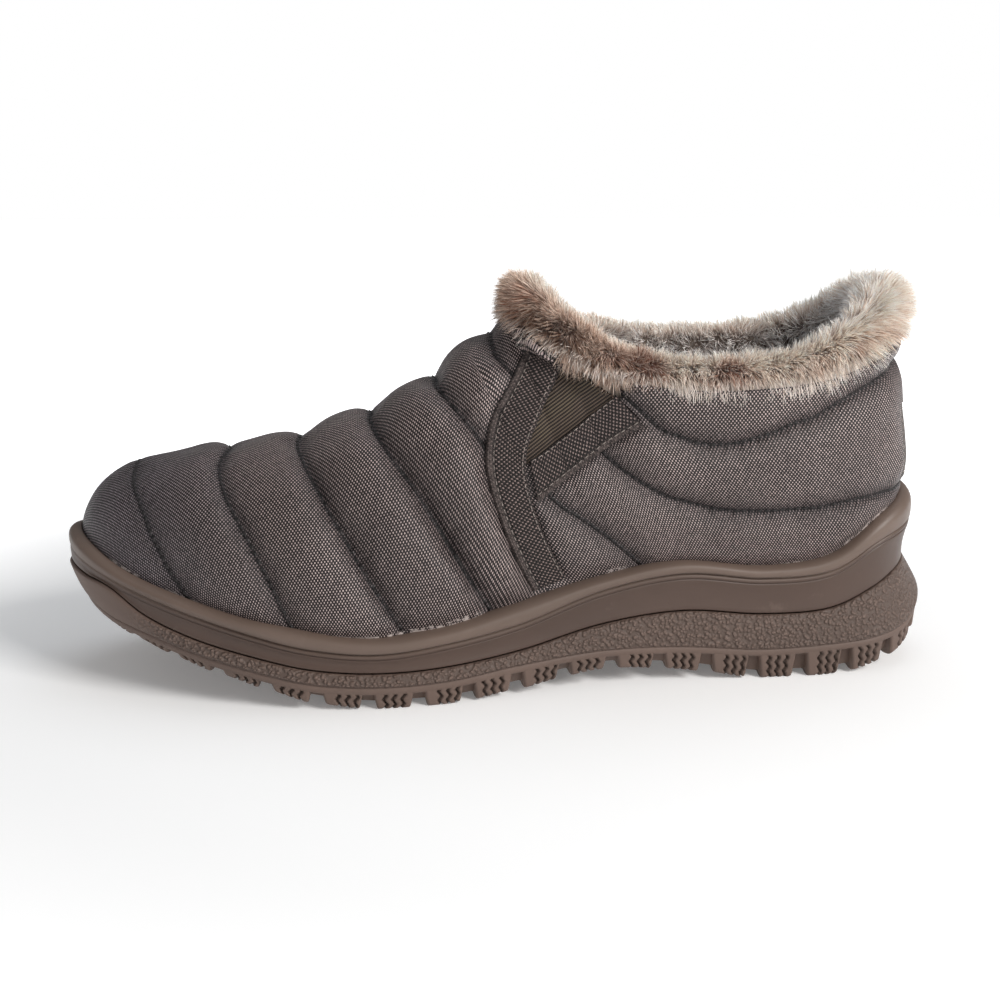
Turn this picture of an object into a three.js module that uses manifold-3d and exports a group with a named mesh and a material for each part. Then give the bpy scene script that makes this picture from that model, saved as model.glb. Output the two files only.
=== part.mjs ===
// Quilted slip-on boot, left foot: cupped rubber sole, hollow padded upper,
// side elastics between webbing bands, pile cuff.
// Millimetres, +Z up, +Y to the heel, +X to the outer side of the foot.
import * as THREE from 'three';
import { mergeVertices } from 'three/addons/utils/BufferGeometryUtils.js';
import Module from 'manifold-3d';

const wasm = await Module();
wasm.setup();

// ---------------------------------------------------------------- sizes
const LENGTH = 285.0;        // outsole, heel to toe
const BALL_WIDTH = 98.0;     // outsole, across the ball
const HEEL_WIDTH = 66.4;     // outsole, across the heel
const INSTEP_HEIGHT = 115.0; // front of the collar above the ground
const WALL = 6.0;            // nylon, wadding and pile together
const GAP = 0.3;             // between touching pieces
const INSOLE_THICK = 5.0;
const LUG_DEPTH_IN = 12.0;   // how far a lug reaches in from the edge
const LUG_GAP = 3.0;         // space between edge lugs
const LUG_COUNT = 42;        // edge lugs all round
const LUG_PHASE = 0.42;      // start of the first lug, in pitches
const WEB_THICK = 1.6;       // webbing bands
const GORE_THICK = 2.0;      // elastic
const GORE_SINK = 1.0;       // elastic lies this far under the nylon
const TAB_THICK = 1.2;       // label patch
const CUFF_THICK = 15.0;     // pile cuff, across
const ORIGIN_X = -0.6145;    // shift that centres the model's box
const ORIGIN_Y = 142.5;

const KL = LENGTH / 285.0;
const KB = BALL_WIDTH / 98.0;
const KH = HEEL_WIDTH / 66.4;
const KZ = INSTEP_HEIGHT / 115.0;

// ---------------------------------------------------------------- tables
// Sole: a row per station from heel to toe. s along the foot from the heel,
// lat and med half widths, then heights of the rim, the bead line, the band
// line, the wall's lower edge, the lug bottoms and the footbed.
const SOLE_COLUMNS = ['s', 'lat', 'med', 'rim', 'bead', 'band', 'edge', 'lug', 'bed'];
const SOLE_ROWS = [
  [0.0, 0.0, 0.0, 58.0, 49.0, 35.4, 21.0, 15.0, 31.0],
  [1.6, 10.5, 10.5, 57.6, 48.6, 34.8, 19.0, 13.0, 31.0],
  [6.0, 19.5, 19.5, 56.6, 47.8, 33.6, 15.0, 9.0, 30.6],
  [13.0, 26.0, 26.0, 54.6, 46.4, 31.6, 11.5, 5.4, 30.2],
  [24.0, 30.8, 30.8, 49.6, 43.0, 27.6, 9.4, 2.2, 29.8],
  [40.0, 33.0, 33.0, 39.6, 34.8, 22.2, 8.3, 0.0, 29.4],
  [62.0, 33.6, 32.8, 37.0, 33.3, 21.4, 7.6, 0.0, 29.2],
  [88.0, 34.2, 32.0, 39.7, 35.7, 23.5, 9.6, 4.0, 29.2],
  [114.0, 36.6, 33.2, 35.8, 31.6, 20.7, 10.0, 5.8, 26.6],
  [140.0, 41.8, 37.8, 29.4, 23.4, 14.8, 8.0, 2.4, 20.4],
  [163.0, 46.4, 44.0, 24.0, 19.2, 11.8, 5.2, 0.0, 15.0],
  [184.0, 48.5, 48.6, 21.9, 17.2, 11.1, 4.7, 0.0, 13.8],
  [204.5, 47.9, 49.8, 24.2, 19.2, 12.7, 6.2, 2.6, 16.4],
  [223.5, 44.8, 48.6, 27.9, 23.6, 16.8, 10.3, 7.2, 20.4],
  [240.5, 39.2, 45.2, 31.8, 27.6, 21.0, 14.4, 10.8, 24.4],
  [255.5, 31.8, 40.2, 35.8, 31.2, 26.4, 18.4, 14.4, 28.4],
  [267.5, 23.2, 34.4, 39.6, 33.8, 33.3, 20.8, 17.0, 31.4],
  [276.5, 13.0, 27.4, 43.2, 35.2, 34.7, 22.6, 19.2, 33.6],
  [282.6, 2.2, 19.2, 45.8, 36.2, 35.7, 23.8, 20.6, 34.8],
  [285.0, -8.0, 8.0, 47.2, 36.6, 36.1, 24.4, 21.2, 35.2],
];
// Side form of the sole, by the same rows: how far each line lies inside the
// outsole's widest line.
const FORM_COLUMNS = ['topIn', 'beadIn', 'bulgeIn', 'bandIn', 'wallIn', 'edgeIn', 'footIn', 'lip'];
const FORM_ROWS = [
  [7.4, 5.2, 4.9, 7.0, 0.0, 0.6, 10.6, 0.6],
  [7.2, 5.0, 4.7, 6.8, 0.0, 0.6, 10.4, 0.6],
  [6.6, 4.4, 4.0, 6.0, 0.0, 0.6, 9.8, 0.8],
  [5.8, 3.4, 2.8, 4.8, 0.0, 0.5, 8.8, 1.2],
  [5.0, 2.4, 1.6, 3.2, 0.0, 0.4, 7.6, 1.8],
  [4.6, 1.6, 0.8, 1.9, 0.0, 0.4, 6.6, 2.2],
  [4.4, 1.3, 0.5, 1.4, 0.0, 0.4, 6.4, 2.2],
  [4.4, 1.3, 0.5, 1.3, 0.0, 0.4, 6.4, 2.2],
  [4.4, 1.3, 0.5, 1.3, 0.0, 0.4, 6.4, 2.2],
  [4.4, 1.3, 0.5, 1.3, 0.0, 0.4, 6.4, 2.2],
  [4.4, 1.3, 0.5, 1.3, 0.0, 0.4, 6.4, 2.2],
  [4.4, 1.3, 0.5, 1.3, 0.0, 0.4, 6.4, 2.2],
  [4.4, 1.3, 0.5, 1.3, 0.0, 0.4, 6.4, 2.2],
  [4.4, 1.3, 0.5, 1.3, 0.1, 0.7, 6.3, 2.2],
  [4.4, 1.3, 0.5, 1.3, 0.3, 1.2, 6.2, 2.2],
  [4.3, 1.3, 0.5, 1.3, 0.7, 1.9, 6.0, 1.8],
  [4.2, 1.3, 0.5, 1.3, 1.3, 2.9, 5.7, 1.4],
  [4.1, 1.3, 0.3, 1.3, 2.0, 4.2, 5.3, 1.2],
  [4.0, 1.3, 0.1, 1.3, 2.6, 5.2, 5.0, 1.2],
  [4.0, 1.3, 0.0, 1.3, 2.9, 5.6, 5.0, 1.2],
];
// Depth of the midsole's seat below the band line, by the same rows.
const SEAT_DROP = [9, 9, 9.2, 9, 7, 4, 3, 3, 3, 2, 2, 2, 2, 2, 2, 3, 5.4, 5.4, 5.4, 5.4];

// Top edge of the nylon around the ankle: foot is the station of the rib's
// lower end, then station, half widths and height of its top.
const COLLAR_COLUMNS = ['foot', 's', 'lat', 'med', 'z'];
const COLLAR_ROWS = [
  [0.0, 14.2, 0.0, 0.0, 106.0],
  [11.0, 20.0, 15.5, 15.5, 104.4],
  [25.0, 32.0, 25.2, 25.2, 100.0],
  [41.0, 50.0, 30.4, 30.0, 95.4],
  [60.0, 75.0, 32.2, 31.6, 93.6],
  [78.0, 97.0, 31.8, 31.0, 94.6],
  [91.0, 115.0, 28.8, 28.0, 98.6],
  [101.0, 130.2, 22.4, 21.8, 106.2],
  [106.0, 137.4, 12.4, 12.2, 111.2],
  [110.0, 139.8, 0.0, 0.0, 113.4],
];
// Crown of the vamp, from the throat to the toe.
const CROWN_COLUMNS = ['foot', 's', 'w', 'z'];
const CROWN_ROWS = [
  [110.0, 139.8, 0.0, 113.4],
  [120.0, 147.0, -0.2, 107.2],
  [134.0, 163.8, -1.0, 93.0],
  [148.5, 184.6, -1.8, 82.2],
  [176.6, 207.5, -3.5, 74.2],
  [209.5, 230.0, -5.2, 70.8],
  [232.0, 240.5, -6.2, 69.9],
  [255.0, 246.5, -6.9, 69.5],
  [285.0, 250.0, -7.4, 69.3],
];
// Ribs: the run of a section from the sole to its top, by the station of its
// lower end. rise and bow: first handle up and out; lean: share of the
// slant taken by it; reach and drop: second handle out and down; turn:
// its direction at the top, 0 straight out to the side, 90 to the toe.
const RIB_COLUMNS = ['foot', 'rise', 'bow', 'lean', 'reach', 'drop', 'turn'];
const RIB_ROWS = [
  [0.0, 24.0, 5.8, 0.0, -0.6, 24.0, 0],
  [11.0, 24.0, 5.2, 0.2, 0.2, 24.0, 0],
  [25.0, 25.0, 3.6, 0.3, 1.4, 22.0, 0],
  [41.0, 27.0, 2.4, 0.3, 2.4, 19.0, 0],
  [60.0, 27.0, 2.4, 0.4, 3.0, 18.0, 0],
  [78.0, 27.0, 2.6, 0.4, 4.0, 18.0, 0],
  [91.0, 28.0, 3.0, 0.4, 6.0, 16.0, 0],
  [101.0, 31.0, 3.4, 0.4, 12.0, 11.0, 0],
  [106.0, 33.0, 3.5, 0.4, 20.0, 5.0, 0],
  [110.0, 34.0, 3.6, 0.4, 29.0, 0.0, 0],
  [120.0, 36.0, 3.6, 0.4, 30.0, 0.0, 0],
  [134.0, 36.0, 3.6, 0.4, 30.5, 0.0, 0],
  [148.5, 34.0, 3.8, 0.4, 31.0, 0.0, 0],
  [176.6, 30.0, 4.0, 0.4, 31.0, 0.0, 0],
  [209.5, 25.0, 4.0, 0.35, 30.0, 0.0, 6],
  [232.0, 22.0, 3.4, 0.3, 27.0, 0.0, 24],
  [255.0, 20.0, 2.8, 0.15, 22.5, 0.0, 52],
  [285.0, 18.0, 2.2, 0.0, 20.0, 0.0, 90],
];
// Quilt channels across the vamp, by the station of their lower end, and the
// height of the puff behind each.
const QUILT_COLUMNS = ['foot', 'puff'];
const QUILT_ROWS = [[120.0, 1.6], [134.0, 2.2], [148.5, 2.6], [176.6, 2.4], [209.5, 0.0], [285.0, 0.0]];

// Edges of the side elastic and of the two webbing bands, on the nylon, as
// station and height.
const BAND_COLUMNS = ['s', 'z'];
const FRONT_BAND_FORE = [[136.6, 104.0], [143.5, 92.5], [147.5, 85.5], [149.8, 77.5], [150.2, 70.0], [148.6, 62.0], [144.6, 50.0], [139.4, 38.0], [136.4, 32.4]];
const FRONT_BAND_AFT = [[125.4, 101.5], [131.0, 90.5], [134.4, 83.0], [137.2, 76.0], [137.8, 69.0], [136.4, 61.0], [132.6, 50.0], [127.8, 40.0], [125.2, 35.9]];
const REAR_BAND_FORE = [[136.6, 72.6], [132.4, 75.0], [126.6, 79.2], [120.8, 83.8], [115.2, 88.4], [110.4, 92.4]];
const REAR_BAND_AFT = [[134.4, 59.6], [129.4, 63.6], [123.8, 67.8], [117.6, 72.6], [110.4, 78.0], [102.0, 83.0]];
const GORE_TIP = [137.4, 71.4];
const GORE_FORE_TOP = [126.2, 101.2]; // where its edges reach the collar
const GORE_AFT_TOP = [107.0, 95.1];
const TAB_LOW = 61.0, TAB_HIGH = 85.5; // label patch, heights
const TAB_REACH = 2.0;                 // and how far it goes round, in rows

// ---------------------------------------------------------------- curves
const clamp = (x, a, b) => Math.min(b, Math.max(a, x));
const N_ROWS = SOLE_ROWS.length;
const HALF = N_ROWS - 1;      // the toe's place on the closed run of rows
const TURN = 2 * HALF;        // one full turn, heel to toe to heel

// Cubic through rows of unequal spacing; period > 0 closes the run.
function spline(keys, values, x, period = 0) {
  const n = keys.length;
  const key = (i) => period ? keys[((i % n) + n) % n] + period * Math.floor(i / n) : keys[clamp(i, 0, n - 1)];
  const val = (i) => period ? values[((i % n) + n) % n] : values[clamp(i, 0, n - 1)];
  if (period) x = ((x % period) + period) % period;
  else x = clamp(x, keys[0], keys[n - 1]);
  let k = 0;
  while (k < n - (period ? 1 : 2) && key(k + 1) <= x) k += 1;
  const slope = (i) => {
    const a = key(i - 1), b = key(i + 1);
    return b > a ? (val(i + 1) - val(i - 1)) / (b - a) : 0;
  };
  const h = key(k + 1) - key(k), t = (x - key(k)) / h;
  const t2 = t * t, t3 = t2 * t;
  return (2 * t3 - 3 * t2 + 1) * val(k) + (t3 - 2 * t2 + t) * h * slope(k)
    + (-2 * t3 + 3 * t2) * val(k + 1) + (t3 - t2) * h * slope(k + 1);
}
const column = (rows, columns, name) => rows.map((r) => r[columns.indexOf(name)]);
// A column of the sole or form table, closed around the outer and inner side.
const closed = (half, inner = half) => [...half, ...inner.slice(1, -1).reverse()];
const ringKeys = Array.from({ length: TURN }, (_, i) => i);
const ring = {};
for (const name of ['s', 'rim', 'bead', 'band', 'edge', 'lug', 'bed']) ring[name] = closed(column(SOLE_ROWS, SOLE_COLUMNS, name));
for (const name of FORM_COLUMNS) ring[name] = closed(column(FORM_ROWS, FORM_COLUMNS, name));
ring.seat = closed(SEAT_DROP);
// Width factor: heel width behind the waist, ball width in front of it.
const widthFactor = (s) => KH + (KB - KH) * clamp((s - 60) / 80, 0, 1);
const lat = SOLE_ROWS.map((r) => r[1] * widthFactor(r[0]));
const med = SOLE_ROWS.map((r) => -r[2] * widthFactor(r[0]));
ring.w = closed(lat, med);
const at = (name, u) => {
  const x = spline(ringKeys, ring[name], u, TURN);
  return name === 'lug' ? Math.max(0, x) : x;
};

// Outline of the outsole's widest line and its outward normal. The run goes
// heel, outer side, toe, inner side.
function outline(u) {
  const e = 0.02;
  const s = at('s', u), w = at('w', u);
  const ds = at('s', u + e) - at('s', u - e), dw = at('w', u + e) - at('w', u - e);
  const l = Math.hypot(ds, dw);
  return { s, w, ns: -dw / l, nw: ds / l };
}
// Point on the outline, moved in by `inset`, at height z.
function edgePoint(u, inset, z) {
  const o = outline(u);
  return [o.s - o.ns * inset, o.w - o.nw * inset, z];
}

// Place on the outer half of the run whose station is s.
function runAt(s) {
  let a = 0, b = HALF;
  for (let i = 0; i < 50; i += 1) {
    const m = (a + b) / 2;
    if (at('s', m) < s) a = m; else b = m;
  }
  return (a + b) / 2;
}
const footKeys = (rows) => rows.map((r) => (r[0] <= 0 ? 0 : r[0] >= 285 ? HALF : runAt(r[0])));
const ribKeys = footKeys(RIB_ROWS);
const crownKeys = footKeys(CROWN_ROWS);
const collarHalf = footKeys(COLLAR_ROWS);
const U_THROAT = crownKeys[0];
const quiltKeys = footKeys(QUILT_ROWS);
// The collar is a closed run through the throat.
const collarKeys = [...collarHalf, ...collarHalf.slice(1, -1).reverse().map((k) => 2 * U_THROAT - k)];
const collarCol = {};
for (const name of ['s', 'z']) collarCol[name] = closed(column(COLLAR_ROWS, COLLAR_COLUMNS, name));
collarCol.w = closed(column(COLLAR_ROWS, COLLAR_COLUMNS, 'lat'), column(COLLAR_ROWS, COLLAR_COLUMNS, 'med').map((x) => -x));

// Folded place: 0 heel to HALF toe, with the side.
const fold = (u) => {
  const x = ((u % TURN) + TURN) % TURN;
  return x <= HALF ? { x, side: 1 } : { x: TURN - x, side: -1 };
};
const rib = (name, x) => spline(ribKeys, column(RIB_ROWS, RIB_COLUMNS, name), x);
const crown = (name, x) => spline(crownKeys, column(CROWN_ROWS, CROWN_COLUMNS, name), x);

// Top end of the rib at u: on the collar edge or on the crown.
function ribTop(u) {
  const { x, side } = fold(u);
  if (x < U_THROAT - 1e-9) {
    const k = side > 0 ? x : 2 * U_THROAT - x;
    const get = (n) => spline(collarKeys, collarCol[n], k, 2 * U_THROAT);
    return { p: [get('s'), get('w'), get('z') * KZ], slope: 0 };
  }
  const e = 0.05;
  const ds = crown('s', x + e) - crown('s', x - e), dz = crown('z', x + e) - crown('z', x - e);
  return { p: [crown('s', x), crown('w', x), crown('z', x) * KZ], slope: Math.abs(ds) > 1e-6 ? dz * KZ / ds : 0 };
}

// Height of the quilt puff at u, for v from the sole (0) to the top (1).
function quilt(u, v) {
  const { x } = fold(u);
  if (x <= quiltKeys[0] || x >= HALF - 1e-6) return 0;
  let k = 0;
  while (k < quiltKeys.length - 2 && quiltKeys[k + 1] <= x) k += 1;
  const t = (x - quiltKeys[k]) / (quiltKeys[k + 1] - quiltKeys[k]);
  const shape = Math.pow(Math.sin(Math.PI * Math.pow(t, 1.15)), 0.75);
  const up = clamp((v - 0.22) / 0.2, 0, 1);
  return QUILT_ROWS[k][1] * shape * up;
}

// Smooth outer form of the upper.
function form(u, v) {
  const { x, side } = fold(u);
  const foot = edgePoint(u, at('footIn', u), at('bed', u) + GAP);
  const out = edgePoint(u, at('footIn', u) - rib('bow', x), 0);
  const top = ribTop(u);
  const lean = rib('lean', x);
  const a = [out[0] + lean * (top.p[0] - foot[0]), out[1], foot[2] + rib('rise', x)];
  const turn = rib('turn', x) * Math.PI / 180;
  const reach = rib('reach', x);
  let dir = [Math.sin(turn), side * Math.cos(turn)];
  if (x < U_THROAT) {
    // around the ankle the handle follows the collar's own outward direction
    const o = outline(u);
    const mix = clamp((U_THROAT - x) / 1.2, 0, 1);
    dir = [mix * o.ns, (1 - mix) * side + mix * o.nw];
    const l = Math.hypot(dir[0], dir[1]);
    dir = [dir[0] / l, dir[1] / l];
  }
  const b = [top.p[0] + reach * dir[0], top.p[1] + reach * dir[1], top.p[2] + reach * dir[0] * top.slope - rib('drop', x)];
  const c = 1 - v;
  return [0, 1, 2].map((i) => c * c * c * foot[i] + 3 * c * c * v * a[i] + 3 * c * v * v * b[i] + v * v * v * top.p[i]);
}
const sub = (a, b) => [a[0] - b[0], a[1] - b[1], a[2] - b[2]];
const cross = (a, b) => [a[1] * b[2] - a[2] * b[1], a[2] * b[0] - a[0] * b[2], a[0] * b[1] - a[1] * b[0]];
const unit = (a) => { const l = Math.hypot(...a) || 1; return a.map((x) => x / l); };
// Outward unit normal of the smooth form.
function formNormal(u, v) {
  const { x, side } = fold(u);
  const e = 0.03;
  let v0 = clamp(v, 0.02, 0.97);
  if (x > U_THROAT && v > 0.995) {
    const top = ribTop(u);
    return unit([-top.slope, 0, 1]);
  }
  let u0 = u, u1 = u;
  u0 = u - e; u1 = u + e;
  const du = sub(form(u1, v0), form(u0, v0));
  const dv = sub(form(u, v0 + 0.02), form(u, v0 - 0.02));
  let n = unit(cross(dv, du));
  const ref = edgePoint(u, -10, 0), mid = [clamp(at('s', u), 60, 225), 0, 0];
  const outDir = [ref[0] - mid[0], ref[1] - mid[1], 12];
  if (n[0] * outDir[0] + n[1] * outDir[1] + n[2] * outDir[2] < 0) n = n.map((q) => -q);
  void side;
  return n;
}
// Surface of the upper with its quilting, moved out by `off`.
function skin(u, v, off = 0, puff = true) {
  const p = form(u, v), n = formNormal(u, v);
  const d = off + (puff ? quilt(u, v) : 0);
  return [p[0] + n[0] * d, p[1] + n[1] * d, p[2] + n[2] * d];
}

// ---------------------------------------------------------------- solids
const toXYZ = (p) => [p[1] - ORIGIN_X, ORIGIN_Y - p[0], p[2]];

function solid(points, triangles) {
  const geometry = new THREE.BufferGeometry();
  geometry.setAttribute('position', new THREE.BufferAttribute(new Float32Array(points.flat()), 3));
  geometry.setIndex(triangles.flat());
  return geometry;
}
// Closed ring lofted through loops, each loop the same number of points. The
// first and last loop are capped across, or joined when `tube` is true.
function loft(loops, { tube = false } = {}) {
  const n = loops[0].length, points = [], triangles = [];
  loops.forEach((loop) => loop.forEach((p) => points.push(toXYZ(p))));
  const m = loops.length, last = tube ? m : m - 1;
  for (let j = 0; j < last; j += 1) {
    for (let i = 0; i < n; i += 1) {
      const a = j * n + i, b = j * n + (i + 1) % n;
      const c = ((j + 1) % m) * n + i, d = ((j + 1) % m) * n + (i + 1) % n;
      triangles.push([a, b, d], [a, d, c]);
    }
  }
  if (!tube) {
    // across: point i on the outer side meets point n - i on the inner side
    const capAt = (base, flip) => {
      for (let i = 0; i < n / 2; i += 1) {
        const a = base + i, b = base + i + 1, c = base + (n - i) % n, d = base + (n - i - 1) % n;
        if (a !== c && a !== b && b !== c) triangles.push(flip ? [a, c, b] : [a, b, c]);
        if (b !== d && c !== d && b !== c) triangles.push(flip ? [b, c, d] : [b, d, c]);
      }
    };
    capAt(0, true);
    capAt((m - 1) * n, false);
  }
  return solid(points, triangles);
}
function weld(geometry) {
  const g = geometry.clone();
  g.deleteAttribute('normal');
  g.deleteAttribute('uv');
  return mergeVertices(g, 1e-4);
}
function volume(geometry) {
  const p = geometry.attributes.position, ix = geometry.index;
  let sum = 0;
  const a = new THREE.Vector3(), b = new THREE.Vector3(), c = new THREE.Vector3();
  for (let i = 0; i < ix.count; i += 3) {
    a.fromBufferAttribute(p, ix.getX(i)); b.fromBufferAttribute(p, ix.getX(i + 1)); c.fromBufferAttribute(p, ix.getX(i + 2));
    sum += a.dot(b.cross(c)) / 6;
  }
  return sum;
}
// Faces out: turned over where the enclosed volume comes out negative.
function outward(geometry) {
  const g = weld(geometry);
  const clean = [];
  const ix = g.index.array;
  for (let i = 0; i < ix.length; i += 3) {
    if (ix[i] !== ix[i + 1] && ix[i + 1] !== ix[i + 2] && ix[i] !== ix[i + 2]) clean.push([ix[i], ix[i + 1], ix[i + 2]]);
  }
  g.setIndex(clean.flat());
  if (volume(g) < 0) g.setIndex(clean.map(([a, b, c]) => [a, c, b]).flat());
  return g;
}
function toManifold(geometry) {
  const g = outward(geometry);
  return new wasm.Manifold(new wasm.Mesh({
    numProp: 3,
    vertProperties: new Float32Array(g.attributes.position.array),
    triVerts: new Uint32Array(g.index.array),
  }));
}
function fromManifold(m) {
  const mesh = m.getMesh();
  const g = new THREE.BufferGeometry();
  g.setAttribute('position', new THREE.BufferAttribute(new Float32Array(mesh.vertProperties), 3));
  g.setIndex(Array.from(mesh.triVerts));
  return g;
}

// Places around the run: closer at heel and toe, one on each quilt channel.
const halfStations = (() => {
  const marks = [0, ...quiltKeys.slice(0, -1), HALF];
  const counts = [20, 2, 2, 4, 4, 11];
  const out = [];
  marks.slice(0, -1).forEach((a, k) => {
    for (let i = 0; i < counts[k]; i += 1) out.push(a + (marks[k + 1] - a) * i / counts[k]);
  });
  out.push(HALF);
  // the throat itself is a station
  let best = 1;
  out.forEach((x, i) => { if (Math.abs(x - U_THROAT) < Math.abs(out[best] - U_THROAT)) best = i; });
  out[best] = U_THROAT;
  return out;
})();
const RUN = [...halfStations, ...halfStations.slice(1, -1).reverse().map((x) => TURN - x)];
const loopOf = (fn) => RUN.map((u) => fn(u));

// ---- outsole
const seatZ = (u) => at('band', u) - at('seat', u);
const outsoleBody = () => loft([
  loopOf((u) => edgePoint(u, 7.5, at('edge', u) + 0.2)),
  loopOf((u) => edgePoint(u, at('edgeIn', u) + 0.8, at('edge', u) - 0.6)),
  loopOf((u) => edgePoint(u, at('edgeIn', u), at('edge', u) + 0.4)),
  loopOf((u) => edgePoint(u, at('wallIn', u), at('edge', u) + 0.45 * (at('band', u) - at('edge', u)) - 2.0 * clamp(at('bandIn', u) - 3, 0, 3))),
  loopOf((u) => edgePoint(u, at('bandIn', u) - 0.5, at('band', u) - 0.6)),
  loopOf((u) => edgePoint(u, at('bandIn', u), at('band', u))),
  loopOf((u) => edgePoint(u, at('bandIn', u) + at('lip', u), at('band', u) - 0.4)),
  loopOf((u) => edgePoint(u, at('bandIn', u) + at('lip', u) + 0.6, seatZ(u))),
]);
// One edge lug, from run length a to b: an eight-cornered block, its foot at
// the lug height and its head inside the body.
const perimeter = (() => {
  const steps = 1200, table = [0];
  let p = edgePoint(0, 0, 0);
  for (let i = 1; i <= steps; i += 1) {
    const q = edgePoint(TURN * i / steps, 0, 0);
    table.push(table[i - 1] + Math.hypot(q[0] - p[0], q[1] - p[1]));
    p = q;
  }
  return { total: table[steps], at: (d) => {
    const t = ((d % table[steps]) + table[steps]) % table[steps];
    let k = 0;
    while (k < steps - 1 && table[k + 1] <= t) k += 1;
    return TURN * (k + (t - table[k]) / (table[k + 1] - table[k])) / steps;
  } };
})();
function lugBlock(a, b) {
  const points = [], triangles = [];
  const cuts = 2;
  for (let i = 0; i < cuts; i += 1) {
    const f = i / (cuts - 1), t = a + (b - a) * f;
    const shrink = 1.1 * (f - 0.5) * 2;
    const u = perimeter.at(t), uFoot = perimeter.at(t - shrink);
    const zFoot = at('lug', u);
    points.push(
      edgePoint(u, at('edgeIn', u) + 0.35, at('edge', u) + 0.3),
      edgePoint(uFoot, at('edgeIn', u) + 1.2 + 0.6 * clamp(at('edgeIn', u) - 0.6, 0, 4), zFoot),
      edgePoint(uFoot, LUG_DEPTH_IN, zFoot),
      edgePoint(u, LUG_DEPTH_IN - 0.8, at('edge', u) + 1.6),
    );
  }
  for (let i = 0; i < cuts - 1; i += 1) {
    for (let j = 0; j < 4; j += 1) {
      const p = i * 4 + j, q = i * 4 + (j + 1) % 4, r = p + 4, s = q + 4;
      triangles.push([p, q, s], [p, s, r]);
    }
  }
  const e = (cuts - 1) * 4;
  triangles.push([0, 2, 1], [0, 3, 2], [e, e + 1, e + 2], [e, e + 2, e + 3]);
  return solid(points.map(toXYZ), triangles);
}
// A bar lug in the middle of the tread, bent at its centre.
const BAR_COLUMNS = ['s', 'half', 'length', 'bend'];
const BAR_ROWS = [
  [52, 16, 10, 4], [70, 16, 10, 4], [156, 25, 10, 5], [172, 28, 10, 5], [188, 30, 10, 5],
  [204, 29, 10, 5], [220, 27, 10, 5], [236, 23, 10, 5], [251, 16, 8, 4],
];
function barLug([s, half, length, bend]) {
  const points = [];
  const mid = (q) => { const u = runAt(q); return (at('w', u) + at('w', TURN - u)) / 2; };
  for (const [k, w] of [-half, 0, half].entries()) {
    const off = k === 1 ? bend : 0;
    for (const end of [-0.5, 0.5]) {
      const q = s + off + end * length, z = at('lug', runAt(q));
      points.push([q, mid(q) + w * 0.8, z + 0.0], [q, mid(q) + w * 0.8, at('edge', runAt(q)) + 1.2]);
    }
  }
  const triangles = [];
  const quad = (a, b, c, d) => triangles.push([a, b, c], [a, c, d]);
  for (let k = 0; k < 2; k += 1) {
    const a = k * 4, b = a + 4;
    quad(a, b, b + 1, a + 1);
    quad(a + 2, a + 3, b + 3, b + 2);
    quad(a, a + 2, b + 2, b);
    quad(a + 1, b + 1, b + 3, a + 3);
  }
  quad(0, 1, 3, 2);
  quad(8, 10, 11, 9);
  return solid(points.map(toXYZ), triangles);
}
function outsole() {
  let body = toManifold(outsoleBody());
  const pitch = perimeter.total / LUG_COUNT;
  for (let i = 0; i < LUG_COUNT; i += 1) {
    const a = (i + LUG_PHASE) * pitch;
    body = body.add(toManifold(lugBlock(a, a + pitch - LUG_GAP)));
  }
  for (const row of BAR_ROWS) body = body.add(toManifold(barLug(row)));
  return fromManifold(body);
}

// ---- midsole: band, bead groove, bead and the cup that takes the upper
// Share of a rib at which the upper passes height z.
function shareAt(u, z) {
  let a = 0, b = 1;
  for (let i = 0; i < 30; i += 1) {
    const m = (a + b) / 2;
    if (form(u, m)[2] < z) a = m; else b = m;
  }
  return (a + b) / 2;
}
function cupPoint(u, z) {
  const p = form(u, shareAt(u, z)), n = formNormal(u, shareAt(u, z));
  const l = Math.hypot(n[0], n[1]);
  return [p[0] + n[0] / l * GAP * 1.3, p[1] + n[1] / l * GAP * 1.3, z];
}
function midsole() {
  const g = GAP;
  return loft([
    loopOf((u) => edgePoint(u, at('bandIn', u) + at('lip', u) + 0.6 + g, seatZ(u) + g)),
    loopOf((u) => edgePoint(u, at('bandIn', u) + at('lip', u) + g, at('band', u) - 0.4 + g)),
    loopOf((u) => edgePoint(u, at('bandIn', u) + 0.15, at('band', u) + g)),
    loopOf((u) => edgePoint(u, 0.55 * at('bandIn', u) + 0.45 * at('beadIn', u) + 0.35, 0.5 * at('band', u) + 0.5 * at('bead', u) - 0.05)),
    loopOf((u) => edgePoint(u, at('beadIn', u) + 0.2, at('bead', u) - 0.35)),
    loopOf((u) => edgePoint(u, at('beadIn', u) + 1.1, at('bead', u) + 0.1)),
    loopOf((u) => edgePoint(u, at('bulgeIn', u) + 0.2, at('bead', u) + 0.55)),
    loopOf((u) => edgePoint(u, at('bulgeIn', u), at('bead', u) + 0.5 * (at('rim', u) - at('bead', u)))),
    loopOf((u) => edgePoint(u, 0.55 * at('bulgeIn', u) + 0.45 * at('topIn', u), at('rim', u) - 0.7)),
    loopOf((u) => cupPoint(u, at('rim', u))),
    loopOf((u) => cupPoint(u, 0.5 * (at('rim', u) + at('bed', u)))),
    loopOf((u) => cupPoint(u, at('bed', u))),
  ]);
}

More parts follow.
